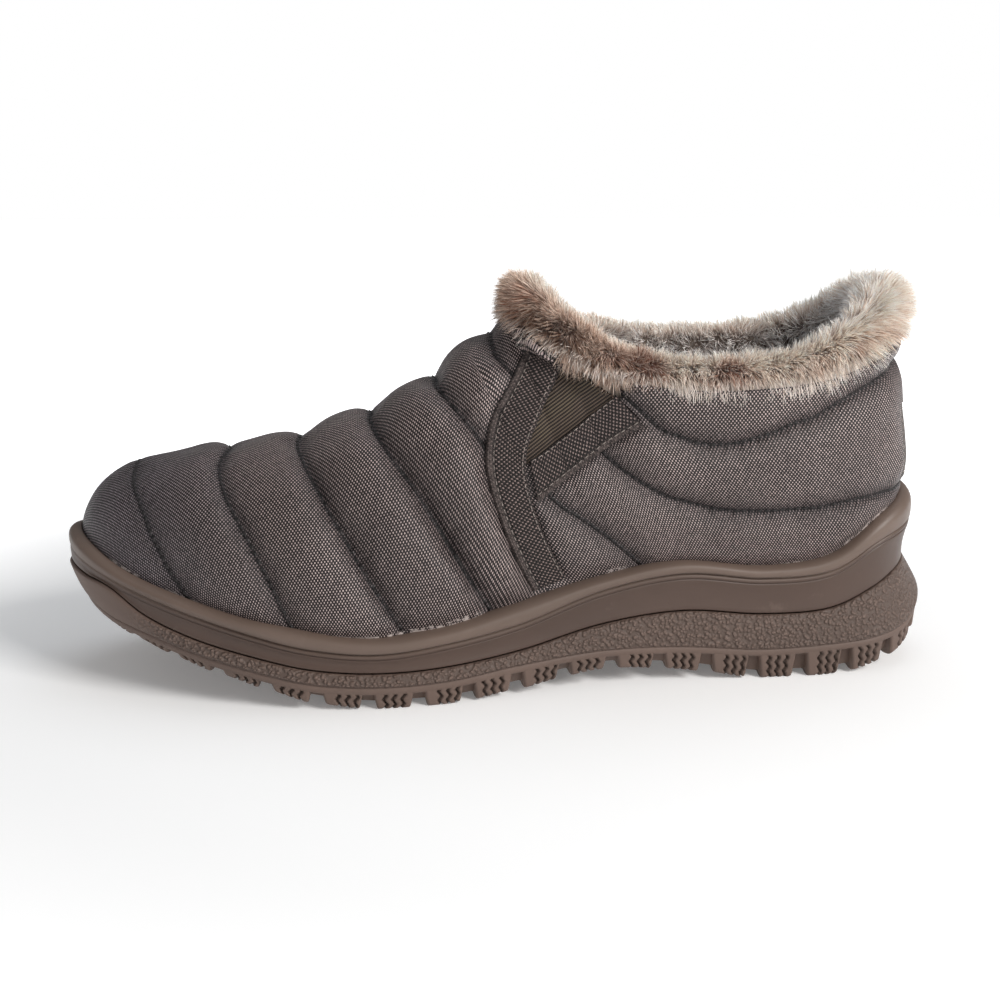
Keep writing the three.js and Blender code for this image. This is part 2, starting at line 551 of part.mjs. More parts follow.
// ---- upper: outer face up, over the top edge, inner face down
const V_OUT = [0, 0.1, 0.2, 0.3, 0.42, 0.54, 0.66, 0.78, 0.88, 0.95, 1];
const V_IN = [1, 0.86, 0.7, 0.5, 0.25, 0.0];
function upper() {
  const n = RUN.length, points = [], triangles = [];
  const isCrown = (i) => fold(RUN[i]).x >= U_THROAT - 1e-9;
  const grid = (vs, off, puff) => {
    const base = points.length;
    vs.forEach((v) => RUN.forEach((u) => points.push(toXYZ(wallPoint(u, v, off, puff)))));
    return base;
  };
  const outer = grid(V_OUT, 0, true);
  const inner = grid(V_IN, -WALL, false);
  const strip = (base, rows) => {
    for (let j = 0; j < rows - 1; j += 1) {
      for (let i = 0; i < n; i += 1) {
        const a = base + j * n + i, b = base + j * n + (i + 1) % n, c = a + n, d = b + n;
        triangles.push([a, b, d], [a, d, c]);
      }
    }
  };
  strip(outer, V_OUT.length);
  strip(inner, V_IN.length);
  // top edge: only around the collar; the crown halves share their points
  const top = outer + (V_OUT.length - 1) * n;
  for (let i = 0; i < n; i += 1) {
    const k = (i + 1) % n;
    if (isCrown(i) && isCrown(k)) continue;
    triangles.push([top + i, top + k, inner + k], [top + i, inner + k, inner + i]);
  }
  // bottom edge
  const low = inner + (V_IN.length - 1) * n;
  for (let i = 0; i < n; i += 1) {
    const k = (i + 1) % n;
    triangles.push([low + i, low + k, outer + k], [low + i, outer + k, outer + i]);
  }
  return solid(points, triangles);
}
// A point of the wall; the crown's halves meet on the same points, and the
// inner face stands on the footbed.
function wallPoint(u, v, off, puff) {
  const { x } = fold(u);
  if (v >= 1 && x >= U_THROAT - 1e-9) {
    const top = ribTop(x), nrm = unit([-top.slope, 0, 1]);
    const d = off + (puff ? quilt(x, 1) : 0);
    return [top.p[0] + nrm[0] * d, top.p[1], top.p[2] + nrm[2] * d];
  }
  const p = skin(u, v, off, puff);
  if (v <= 0) p[2] = at('bed', u) + GAP;
  if (v >= 1) p[2] = ribTop(u).p[2] - (off < 0 ? 0.4 : 0);
  return p;
}
const uprightPrism = (corners, side) => {
  // prism across the wall on one side, corners as station and height
  const points = [], triangles = [], n = corners.length;
  for (const w of [6, 75]) corners.forEach(([s, z]) => points.push(toXYZ([s, side * w, z])));
  for (let i = 0; i < n; i += 1) {
    const k = (i + 1) % n;
    triangles.push([i, k, n + k], [i, n + k, n + i]);
  }
  for (let i = 1; i < n - 1; i += 1) triangles.push([0, i + 1, i], [n, n + i, n + i + 1]);
  return solid(points, triangles);
};

// ---- pieces that lie on the side of the upper
// Point of the surface with station s and height z on one side, moved out.
function sidePoint(s, z, side, off, puff = true) {
  let u = side > 0 ? runAt(clamp(s - 18, 6, 250)) : TURN - runAt(clamp(s - 18, 6, 250));
  let v = 0.5;
  for (let i = 0; i < 24; i += 1) {
    const p = skin(u, v, off, puff);
    const a = skin(u + 0.02, v, off, puff), b = skin(u, v + 0.01, off, puff);
    const j = [(a[0] - p[0]) / 0.02, (b[0] - p[0]) / 0.01, (a[2] - p[2]) / 0.02, (b[2] - p[2]) / 0.01];
    const det = j[0] * j[3] - j[1] * j[2], es = s - p[0], ez = z - p[2];
    const du = (es * j[3] - ez * j[1]) / det, dv = (ez * j[0] - es * j[2]) / det;
    u += clamp(du, -0.5, 0.5);
    v = clamp(v + clamp(dv, -0.1, 0.1), 0.02, 0.985);
    if (Math.hypot(es, ez) < 1e-4) break;
  }
  return skin(u, v, off, puff);
}
// A sheet between two edge tables, `across` cells wide, from `low` to `high`
// above the nylon.
function sheet(fore, aft, along, across, side, low, high) {
  const pick = (rows, t) => {
    const k = rows.map((_, i) => i / (rows.length - 1));
    return [spline(k, rows.map((r) => r[0]), t), spline(k, rows.map((r) => r[1]), t)];
  };
  const m = across + 1, n = along + 1, points = [], triangles = [];
  for (const off of [low, high]) {
    for (let i = 0; i < n; i += 1) {
      for (let j = 0; j < m; j += 1) {
        const a = pick(fore, i / along), b = pick(aft, i / along), f = j / across;
        points.push(sidePoint(a[0] + (b[0] - a[0]) * f, a[1] + (b[1] - a[1]) * f, side, 0).map((x) => x));
        const base = points.length - 1;
        const nn = sideNormal(points[base], side);
        points[base] = points[base].map((x, q) => x + nn[q] * off);
      }
    }
  }
  const id = (l, i, j) => l * n * m + i * m + j;
  for (let i = 0; i < along; i += 1) {
    for (let j = 0; j < across; j += 1) {
      for (const l of [0, 1]) {
        const q = [id(l, i, j), id(l, i, j + 1), id(l, i + 1, j + 1), id(l, i + 1, j)];
        if (l === 0) triangles.push([q[0], q[1], q[2]], [q[0], q[2], q[3]]);
        else triangles.push([q[0], q[2], q[1]], [q[0], q[3], q[2]]);
      }
    }
  }
  const wall = (a, b) => triangles.push([id(0, ...a), id(1, ...b), id(1, ...a)], [id(0, ...a), id(0, ...b), id(1, ...b)]);
  for (let i = 0; i < along; i += 1) { wall([i, 0], [i + 1, 0]); wall([i + 1, across], [i, across]); }
  for (let j = 0; j < across; j += 1) { wall([0, j + 1], [0, j]); wall([along, j], [along, j + 1]); }
  return outward(solid(points.map(toXYZ), triangles));
}
// Outward direction on the side, from the surface around a point of it.
function sideNormal(p, side) {
  const a = sidePoint(p[0] + 1.5, p[2], side, 0), b = sidePoint(p[0] - 1.5, p[2], side, 0);
  const c = sidePoint(p[0], p[2] + 1.5, side, 0), d = sidePoint(p[0], p[2] - 1.5, side, 0);
  let n = unit(cross(sub(a, b), sub(c, d)));
  if (n[1] * side < 0) n = n.map((x) => -x);
  return n;
}

// ---- assembly
const boot = new THREE.Group();
function add(name, geometry, color, roughness) {
  const g = outward(geometry);
  const mesh = new THREE.Mesh(g, new THREE.MeshStandardMaterial({ color, roughness, metalness: 0 }));
  mesh.name = name;
  boot.add(mesh);
  return g;
}
const RUBBER = 0x6e5c52, BAND = 0x75645a, NYLON = 0x5a504d, WEBBING = 0x544a46, ELASTIC = 0x4a3c33, PILE = 0xc8beb4, FOOTBED = 0xb9aea4, TAB = 0x62574f;

add('outsole', outsole(), RUBBER, 0.8);
add('midsole', midsole(), BAND, 0.7);

// The notch runs on from the elastic's edges past the collar.
const onward = (top, k) => [GORE_TIP[0] + (top[0] - GORE_TIP[0]) * k, GORE_TIP[1] + (top[1] - GORE_TIP[1]) * k];
const gorePrism = [
  [GORE_TIP[0] + 0.2, GORE_TIP[1] - 0.4],
  onward(GORE_AFT_TOP, 1.35),
  [onward(GORE_AFT_TOP, 1.35)[0], 130],
  [onward(GORE_FORE_TOP, 1.9)[0], 130],
];
let shell = toManifold(upper());
for (const side of [1, -1]) shell = shell.subtract(toManifold(uprightPrism(gorePrism, side)));
add('upper', fromManifold(shell), NYLON, 0.75);

for (const [word, side] of [['lateral', 1], ['medial', -1]]) {
  const inset = 1.1;
  add(`gore_${word}`, sheet(
    [[GORE_TIP[0] - inset - 0.5, GORE_TIP[1] + 3.0], [GORE_FORE_TOP[0] - inset - 0.4, GORE_FORE_TOP[1]]],
    [[GORE_TIP[0] - inset - 1.7, GORE_TIP[1] + 3.0], [GORE_AFT_TOP[0] + inset, GORE_AFT_TOP[1]]],
    5, 3, side, -GORE_SINK - GORE_THICK, -GORE_SINK), ELASTIC, 0.8);
  add(`webbing_front_${word}`, sheet(FRONT_BAND_FORE, FRONT_BAND_AFT, 12, 3, side, GAP + 0.35, GAP + 0.35 + WEB_THICK), WEBBING, 0.85);
  add(`webbing_rear_${word}`, sheet(REAR_BAND_FORE, REAR_BAND_AFT, 8, 3, side, GAP + 0.35, GAP + 0.35 + WEB_THICK), WEBBING, 0.85);
}

// label patch on the back of the heel
function tab() {
  const across = 8, up = 3, points = [], triangles = [];
  for (const off of [GAP, GAP + TAB_THICK]) {
    for (let i = 0; i <= across; i += 1) {
      for (let j = 0; j <= up; j += 1) {
        const u = TAB_REACH * (2 * i / across - 1);
        points.push(skin(u, shareAt(u, TAB_LOW + (TAB_HIGH - TAB_LOW) * j / up), off, false));
      }
    }
  }
  const m = up + 1, id = (l, i, j) => l * (across + 1) * m + i * m + j;
  for (let i = 0; i < across; i += 1) {
    for (let j = 0; j < up; j += 1) {
      const q = (l) => [id(l, i, j), id(l, i + 1, j), id(l, i + 1, j + 1), id(l, i, j + 1)];
      const [a, b, c, d] = q(0), [e, f, g, h] = q(1);
      triangles.push([a, b, c], [a, c, d], [e, g, f], [e, h, g]);
    }
  }
  const wall = (a, b) => triangles.push([id(0, ...a), id(1, ...a), id(1, ...b)], [id(0, ...a), id(1, ...b), id(0, ...b)]);
  for (let i = 0; i < across; i += 1) { wall([i, 0], [i + 1, 0]); wall([i + 1, up], [i, up]); }
  for (let j = 0; j < up; j += 1) { wall([0, j + 1], [0, j]); wall([across, j], [across, j + 1]); }
  return solid(points.map(toXYZ), triangles);
}
add('heel_tab', tab(), TAB, 0.85);

// footbed inside the wall
add('insole', loft([
  loopOf((u) => insolePoint(u, GAP)),
  loopOf((u) => insolePoint(u, GAP + INSOLE_THICK)),
]), FOOTBED, 0.95);
function insolePoint(u, up) {
  const z = at('bed', u) + up;
  const v = shareAt(u, Math.max(z, at('bed', u) + GAP));
  const p = skin(u, v, -(WALL + GAP + 0.5), false);
  return [p[0], p[1], z];
}

// pile cuff on the top edge
const CUFF_COLUMNS = ['foot', 'tall', 'out'];
const CUFF_ROWS = [
  [0, 23.0, 2.0], [11, 22.0, 2.2], [25, 18.5, 2.4], [41, 15.0, 2.6], [60, 13.0, 2.8],
  [78, 13.0, 2.8], [91, 15.0, 2.6], [101, 17.0, 2.4], [110, 17.0, 2.2],
];
function cuff() {
  const keys = footKeys(CUFF_ROWS);
  const steps = 48, sides = 8, loops = [];
  for (let k = 0; k < sides; k += 1) loops.push([]);
  for (let i = 0; i < steps; i += 1) {
    const t = 2 * U_THROAT * i / steps;
    const get = (n, q) => spline(collarKeys, collarCol[n], q, 2 * U_THROAT);
    const p = [get('s', t), get('w', t), get('z', t) * KZ];
    const e = 0.05;
    const d = [get('s', t + e) - get('s', t - e), get('w', t + e) - get('w', t - e)];
    const l = Math.hypot(d[0], d[1]);
    let n = [d[1] / l, -d[0] / l];
    if (n[0] * (p[0] - 78) + n[1] * p[1] < 0) n = [-n[0], -n[1]];
    const x = t <= U_THROAT ? t : 2 * U_THROAT - t;
    const tall = spline(keys, column(CUFF_ROWS, CUFF_COLUMNS, 'tall'), x);
    const out = spline(keys, column(CUFF_ROWS, CUFF_COLUMNS, 'out'), x);
    for (let k = 0; k < sides; k += 1) {
      const a = 2 * Math.PI * (k + 0.5) / sides;
      const cx = Math.cos(a), cz = Math.sin(a);
      const px = Math.sign(cx) * Math.pow(Math.abs(cx), 0.8), pz = Math.sign(cz) * Math.pow(Math.abs(cz), 0.8);
      const r = out - CUFF_THICK / 2 + px * CUFF_THICK / 2;
      const z = p[2] + GAP + 0.3 + tall / 2 * (1 + pz / Math.pow(Math.sin(Math.PI * 0.5 * (sides - 2) / sides), 0.8) * 1.0);
      loops[k].push([p[0] + n[0] * r, p[1] + n[1] * r, Math.max(z, p[2] + GAP + 0.3)]);
    }
  }
  return loft(loops, { tube: true });
}
add('fur_collar', cuff(), PILE, 1.0);

export default boot;
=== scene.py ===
"""Quilted slip-on boot, left foot: the looks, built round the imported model."""
import math

import bpy
import numpy as np
from mathutils import Matrix, Vector
from mathutils.kdtree import KDTree


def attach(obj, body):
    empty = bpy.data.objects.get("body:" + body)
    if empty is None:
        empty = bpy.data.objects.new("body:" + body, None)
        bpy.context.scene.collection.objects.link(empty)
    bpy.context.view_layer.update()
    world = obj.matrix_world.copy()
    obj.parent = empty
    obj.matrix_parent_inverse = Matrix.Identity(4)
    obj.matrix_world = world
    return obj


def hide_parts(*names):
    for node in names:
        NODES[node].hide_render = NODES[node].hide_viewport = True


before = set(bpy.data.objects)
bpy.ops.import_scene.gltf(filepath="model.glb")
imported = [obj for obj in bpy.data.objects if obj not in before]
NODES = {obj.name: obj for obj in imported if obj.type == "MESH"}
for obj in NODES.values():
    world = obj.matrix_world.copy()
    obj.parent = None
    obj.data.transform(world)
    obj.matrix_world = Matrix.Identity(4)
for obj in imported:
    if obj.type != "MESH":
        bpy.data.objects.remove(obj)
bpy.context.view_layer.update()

# ---------------------------------------------------------------- sizes, mm
LENGTH, BALL_WIDTH, HEEL_WIDTH, INSTEP_HEIGHT = 285.0, 98.0, 66.4, 115.0
WALL, GAP, INSOLE_THICK = 6.0, 0.3, 5.0
ORIGIN_X, ORIGIN_Y = -0.6145, 142.5
KH, KB, KZ = HEEL_WIDTH / 66.4, BALL_WIDTH / 98.0, INSTEP_HEIGHT / 115.0

# s, lat, med, rim, bead, band, edge, lug, bed
SOLE_ROWS = np.array([
    [0.0, 0.0, 0.0, 58.0, 49.0, 35.4, 21.0, 15.0, 31.0],
    [1.6, 10.5, 10.5, 57.6, 48.6, 34.8, 19.0, 13.0, 31.0],
    [6.0, 19.5, 19.5, 56.6, 47.8, 33.6, 15.0, 9.0, 30.6],
    [13.0, 26.0, 26.0, 54.6, 46.4, 31.6, 11.5, 5.4, 30.2],
    [24.0, 30.8, 30.8, 49.6, 43.0, 27.6, 9.4, 2.2, 29.8],
    [40.0, 33.0, 33.0, 39.6, 34.8, 22.2, 8.3, 0.0, 29.4],
    [62.0, 33.6, 32.8, 37.0, 33.3, 21.4, 7.6, 0.0, 29.2],
    [88.0, 34.2, 32.0, 39.7, 35.7, 23.5, 9.6, 4.0, 29.2],
    [114.0, 36.6, 33.2, 35.8, 31.6, 20.7, 10.0, 5.8, 26.6],
    [140.0, 41.8, 37.8, 29.4, 23.4, 14.8, 8.0, 2.4, 20.4],
    [163.0, 46.4, 44.0, 24.0, 19.2, 11.8, 5.2, 0.0, 15.0],
    [184.0, 48.5, 48.6, 21.9, 17.2, 11.1, 4.7, 0.0, 13.8],
    [204.5, 47.9, 49.8, 24.2, 19.2, 12.7, 6.2, 2.6, 16.4],
    [223.5, 44.8, 48.6, 27.9, 23.6, 16.8, 10.3, 7.2, 20.4],
    [240.5, 39.2, 45.2, 31.8, 27.6, 21.0, 14.4, 10.8, 24.4],
    [255.5, 31.8, 40.2, 35.8, 31.2, 26.4, 18.4, 14.4, 28.4],
    [267.5, 23.2, 34.4, 39.6, 33.8, 33.3, 20.8, 17.0, 31.4],
    [276.5, 13.0, 27.4, 43.2, 35.2, 34.7, 22.6, 19.2, 33.6],
    [282.6, 2.2, 19.2, 45.8, 36.2, 35.7, 23.8, 20.6, 34.8],
    [285.0, -8.0, 8.0, 47.2, 36.6, 36.1, 24.4, 21.2, 35.2]])
# topIn, beadIn, bulgeIn, bandIn, wallIn, edgeIn, footIn, lip
FORM_ROWS = np.array([
    [7.4, 5.2, 4.9, 7.0, 0.0, 0.6, 10.6, 0.6], [7.2, 5.0, 4.7, 6.8, 0.0, 0.6, 10.4, 0.6],
    [6.6, 4.4, 4.0, 6.0, 0.0, 0.6, 9.8, 0.8], [5.8, 3.4, 2.8, 4.8, 0.0, 0.5, 8.8, 1.2],
    [5.0, 2.4, 1.6, 3.2, 0.0, 0.4, 7.6, 1.8], [4.6, 1.6, 0.8, 1.9, 0.0, 0.4, 6.6, 2.2],
    [4.4, 1.3, 0.5, 1.4, 0.0, 0.4, 6.4, 2.2], [4.4, 1.3, 0.5, 1.3, 0.0, 0.4, 6.4, 2.2],
    [4.4, 1.3, 0.5, 1.3, 0.0, 0.4, 6.4, 2.2], [4.4, 1.3, 0.5, 1.3, 0.0, 0.4, 6.4, 2.2],
    [4.4, 1.3, 0.5, 1.3, 0.0, 0.4, 6.4, 2.2], [4.4, 1.3, 0.5, 1.3, 0.0, 0.4, 6.4, 2.2],
    [4.4, 1.3, 0.5, 1.3, 0.0, 0.4, 6.4, 2.2], [4.4, 1.3, 0.5, 1.3, 0.1, 0.7, 6.3, 2.2],
    [4.4, 1.3, 0.5, 1.3, 0.3, 1.2, 6.2, 2.2], [4.3, 1.3, 0.5, 1.3, 0.7, 1.9, 6.0, 1.8],
    [4.2, 1.3, 0.5, 1.3, 1.3, 2.9, 5.7, 1.4], [4.1, 1.3, 0.3, 1.3, 2.0, 4.2, 5.3, 1.2],
    [4.0, 1.3, 0.1, 1.3, 2.6, 5.2, 5.0, 1.2], [4.0, 1.3, 0.0, 1.3, 2.9, 5.6, 5.0, 1.2]])
# foot, s, lat, med, z
COLLAR_ROWS = np.array([
    [0.0, 14.2, 0.0, 0.0, 106.0], [11.0, 20.0, 15.5, 15.5, 104.4], [25.0, 32.0, 25.2, 25.2, 100.0],
    [41.0, 50.0, 30.4, 30.0, 95.4], [60.0, 75.0, 32.2, 31.6, 93.6], [78.0, 97.0, 31.8, 31.0, 94.6],
    [91.0, 115.0, 28.8, 28.0, 98.6], [101.0, 130.2, 22.4, 21.8, 106.2], [106.0, 137.4, 12.4, 12.2, 111.2],
    [110.0, 139.8, 0.0, 0.0, 113.4]])
# foot, s, w, z
CROWN_ROWS = np.array([
    [110.0, 139.8, 0.0, 113.4], [120.0, 147.0, -0.2, 107.2], [134.0, 163.8, -1.0, 93.0],
    [148.5, 184.6, -1.8, 82.2], [176.6, 207.5, -3.5, 74.2], [209.5, 230.0, -5.2, 70.8],
    [232.0, 240.5, -6.2, 69.9], [255.0, 246.5, -6.9, 69.5], [285.0, 250.0, -7.4, 69.3]])
# foot, rise, bow, lean, reach, drop, turn
RIB_ROWS = np.array([
    [0.0, 24.0, 5.8, 0.0, -0.6, 24.0, 0], [11.0, 24.0, 5.2, 0.2, 0.2, 24.0, 0],
    [25.0, 25.0, 3.6, 0.3, 1.4, 22.0, 0], [41.0, 27.0, 2.4, 0.3, 2.4, 19.0, 0],
    [60.0, 27.0, 2.4, 0.4, 3.0, 18.0, 0], [78.0, 27.0, 2.6, 0.4, 4.0, 18.0, 0],
    [91.0, 28.0, 3.0, 0.4, 6.0, 16.0, 0], [101.0, 31.0, 3.4, 0.4, 12.0, 11.0, 0],
    [106.0, 33.0, 3.5, 0.4, 20.0, 5.0, 0], [110.0, 34.0, 3.6, 0.4, 29.0, 0.0, 0],
    [120.0, 36.0, 3.6, 0.4, 30.0, 0.0, 0], [134.0, 36.0, 3.6, 0.4, 30.5, 0.0, 0],
    [148.5, 34.0, 3.8, 0.4, 31.0, 0.0, 0], [176.6, 30.0, 4.0, 0.4, 31.0, 0.0, 0],
    [209.5, 25.0, 4.0, 0.35, 30.0, 0.0, 6], [232.0, 22.0, 3.4, 0.3, 27.0, 0.0, 24],
    [255.0, 20.0, 2.8, 0.15, 22.5, 0.0, 52], [285.0, 18.0, 2.2, 0.0, 20.0, 0.0, 90]])
FRONT_BAND_FORE = np.array([[136.6, 104.0], [143.5, 92.5], [147.5, 85.5], [149.8, 77.5], [150.2, 70.0], [148.6, 62.0], [144.6, 50.0], [139.4, 38.0], [136.4, 32.4]])
FRONT_BAND_AFT = np.array([[125.4, 101.5], [131.0, 90.5], [134.4, 83.0], [137.2, 76.0], [137.8, 69.0], [136.4, 61.0], [132.6, 50.0], [127.8, 40.0], [125.2, 35.9]])
REAR_BAND_FORE = np.array([[136.6, 72.6], [132.4, 75.0], [126.6, 79.2], [120.8, 83.8], [115.2, 88.4], [110.4, 92.4]])
REAR_BAND_AFT = np.array([[134.4, 59.6], [129.4, 63.6], [123.8, 67.8], [117.6, 72.6], [110.4, 78.0], [102.0, 83.0]])
GORE_TIP, GORE_FORE_TOP, GORE_AFT_TOP = (137.4, 71.4), (126.2, 101.2), (107.0, 95.1)
TAB_LOW, TAB_HIGH, TAB_REACH = 61.0, 85.5, 2.0
# foot, tall, out
CUFF_ROWS = np.array([[0, 23.0, 2.0], [11, 22.0, 2.2], [25, 18.5, 2.4], [41, 15.0, 2.6], [60, 13.0, 2.8],
                      [78, 13.0, 2.8], [91, 15.0, 2.6], [101, 17.0, 2.4], [110, 17.0, 2.2]])
CUFF_THICK = 15.0

# ---------------------------------------------------------------- surface
N_ROWS = len(SOLE_ROWS)
HALF = N_ROWS - 1
TURN = 2 * HALF


def spl(keys, vals, x, period=0.0):
    """Cubic through rows of unequal spacing; period > 0 closes the run."""
    k, v, x = np.asarray(keys, float), np.asarray(vals, float), np.asarray(x, float)
    if period:
        x = np.mod(x, period)
        k = np.concatenate([k[-2:] - period, k, k[:3] + period])
        v = np.concatenate([v[-2:], v, v[:3]])
    else:
        x = np.clip(x, k[0], k[-1])
    m = np.empty_like(v)
    m[1:-1] = (v[2:] - v[:-2]) / (k[2:] - k[:-2])
    m[0] = (v[1] - v[0]) / (k[1] - k[0])
    m[-1] = (v[-1] - v[-2]) / (k[-1] - k[-2])
    i = np.clip(np.searchsorted(k, x, side="right") - 1, 0, len(k) - 2)
    h = k[i + 1] - k[i]
    t = (x - k[i]) / h
    t2, t3 = t * t, t * t * t
    return (2 * t3 - 3 * t2 + 1) * v[i] + (t3 - 2 * t2 + t) * h * m[i] + (-2 * t3 + 3 * t2) * v[i + 1] + (t3 - t2) * h * m[i + 1]


def closed(half, inner=None):
    inner = half if inner is None else inner
    return np.concatenate([half, inner[1:-1][::-1]])


RING = {n: closed(SOLE_ROWS[:, c]) for c, n in ((0, "s"), (3, "rim"), (4, "bead"), (5, "band"), (6, "edge"), (7, "lug"), (8, "bed"))}
for _c, _n in enumerate(("topIn", "beadIn", "bulgeIn", "bandIn", "wallIn", "edgeIn", "footIn", "lip")):
    RING[_n] = closed(FORM_ROWS[:, _c])
_wf = KH + (KB - KH) * np.clip((SOLE_ROWS[:, 0] - 60) / 80, 0, 1)
RING["w"] = closed(SOLE_ROWS[:, 1] * _wf, -SOLE_ROWS[:, 2] * _wf)
RING_KEYS = np.arange(TURN)


def at(name, u):
    x = spl(RING_KEYS, RING[name], u, TURN)
    return np.maximum(0.0, x) if name == "lug" else x


def outline(u):
    e = 0.02
    ds, dw = at("s", u + e) - at("s", u - e), at("w", u + e) - at("w", u - e)
    l = np.hypot(ds, dw)
    return at("s", u), at("w", u), -dw / l, ds / l


def edge_point(u, inset, z):
    s, w, ns, nw = outline(u)
    return np.stack([s - ns * inset, w - nw * inset, z + 0 * s], -1)


_us = np.linspace(0, HALF, 8001)
_ss = at("s", _us)


def run_at(s):
    return np.interp(s, _ss, _us)


def foot_keys(col):
    k = run_at(col)
    k = np.where(col <= 0, 0.0, k)
    return np.where(col >= 285, HALF, k)


RIB_KEYS = foot_keys(RIB_ROWS[:, 0])
CROWN_KEYS = foot_keys(CROWN_ROWS[:, 0])
COLLAR_HALF = foot_keys(COLLAR_ROWS[:, 0])
U_THROAT = float(CROWN_KEYS[0])
COLLAR_KEYS = np.concatenate([COLLAR_HALF, 2 * U_THROAT - COLLAR_HALF[1:-1][::-1]])
COLLAR = {"s": closed(COLLAR_ROWS[:, 1]), "z": closed(COLLAR_ROWS[:, 4]), "w": closed(COLLAR_ROWS[:, 2], -COLLAR_ROWS[:, 3])}


def fold(u):
    x = np.mod(u, TURN)
    side = np.where(x <= HALF, 1.0, -1.0)
    return np.where(x <= HALF, x, TURN - x), side


def rib(c, x):
    return spl(RIB_KEYS, RIB_ROWS[:, c], x)


def crown(c, x):
    return spl(CROWN_KEYS, CROWN_ROWS[:, c], x)


def collar(name, k):
    return spl(COLLAR_KEYS, COLLAR[name], k, 2 * U_THROAT)


def rib_top(u):
    x, side = fold(u)
    low = x < U_THROAT - 1e-9
    k = np.where(side > 0, x, 2 * U_THROAT - x)
    a = np.stack([collar("s", k), collar("w", k), collar("z", k) * KZ], -1)
    b = np.stack([crown(1, x), crown(2, x), crown(3, x) * KZ], -1)
    e = 0.05
    ds, dz = crown(1, x + e) - crown(1, x - e), crown(3, x + e) - crown(3, x - e)
    slope = np.where(np.abs(ds) > 1e-6, dz * KZ / np.where(np.abs(ds) > 1e-6, ds, 1), 0.0)
    return np.where(low[..., None], a, b), np.where(low, 0.0, slope)


def form_hard(u, v):
    """Smooth outer form of the upper: u round the sole, v from the sole (0) to the top (1)."""
    u, v = np.broadcast_arrays(np.asarray(u, float), np.asarray(v, float))
    x, side = fold(u)
    foot = edge_point(u, at("footIn", u), at("bed", u) + GAP)
    out = edge_point(u, at("footIn", u) - rib(2, x), 0.0)
    top, slope = rib_top(u)
    lean = rib(3, x)
    a = np.stack([out[..., 0] + lean * (top[..., 0] - foot[..., 0]), out[..., 1], foot[..., 2] + rib(1, x)], -1)
    turn, reach = np.radians(rib(6, x)), rib(4, x)
    dx, dy = np.sin(turn), side * np.cos(turn)
    _, _, ns, nw = outline(u)
    mix = np.clip((U_THROAT - x) / 1.2, 0, 1)
    ex, ey = mix * ns, (1 - mix) * side + mix * nw
    l = np.hypot(ex, ey)
    low = x < U_THROAT
    dx, dy = np.where(low, ex / l, dx), np.where(low, ey / l, dy)
    b = np.stack([top[..., 0] + reach * dx, top[..., 1] + reach * dy, top[..., 2] + reach * dx * slope - rib(5, x)], -1)
    v = v[..., None]
    c = 1 - v
    return c ** 3 * foot + 3 * c * c * v * a + 3 * c * v * v * b + v ** 3 * top


def form(u, v):
    """The upper's surface, with the fold below the throat drawn out softly."""
    u, v = np.broadcast_arrays(np.asarray(u, float), np.asarray(v, float))
    x, _ = fold(u)
    w = np.clip((1.5 - np.abs(x - U_THROAT)) / 0.7, 0, 1) * np.clip((0.975 - v) / 0.12, 0, 1)
    p = form_hard(u, v)
    m = w > 0
    if m.any():
        um, vm, wm = u[m], v[m], w[m][:, None]
        q = 0.40 * p[m] + 0.30 * (form_hard(um - 0.5, vm) + form_hard(um + 0.5, vm))
        p = np.array(p)
        p[m] = p[m] * (1 - wm) + q * wm
    return p


def unit(a):
    l = np.linalg.norm(a, axis=-1, keepdims=True)
    return a / np.where(l > 1e-12, l, 1)


def form_normal(u, v):
    u, v = np.broadcast_arrays(np.asarray(u, float), np.asarray(v, float))
    x, _ = fold(u)
    e, v0 = 0.03, np.clip(v, 0.02, 0.97)
    du = form(u + e, v0) - form(u - e, v0)
    dv = form(u, v0 + 0.02) - form(u, v0 - 0.02)
    n = unit(np.cross(dv, du))
    ref = edge_point(u, -10.0, 0.0)
    mid = np.clip(at("s", u), 60, 225)
    out = np.stack([ref[..., 0] - mid, ref[..., 1], 12 + 0 * mid], -1)
    n = np.where(np.sum(n * out, -1, keepdims=True) < 0, -n, n)
    _, slope = rib_top(u)
    c = unit(np.stack([-slope, 0 * slope, 1 + 0 * slope], -1))
    w = np.where(x > U_THROAT - 0.4, np.clip((v - 0.9) / 0.1, 0, 1) ** 2 * np.clip((x - U_THROAT + 0.4) / 0.4, 0, 1), 0.0)[..., None]
    return unit(n * (1 - w) + c * w)


def skin(u, v, off=0.0):
    return form(u, v) + form_normal(u, v) * np.asarray(off, float)[..., None] if np.ndim(off) else form(u, v) + form_normal(u, v) * off


def share_at(u, z):
    u, z = np.broadcast_arrays(np.asarray(u, float), np.asarray(z, float))
    a, b = np.zeros_like(u), np.ones_like(u)
    for _ in range(26):
        m = (a + b) / 2
        low = form(u, m)[..., 2] < z
        a, b = np.where(low, m, a), np.where(low, b, m)
    return (a + b) / 2


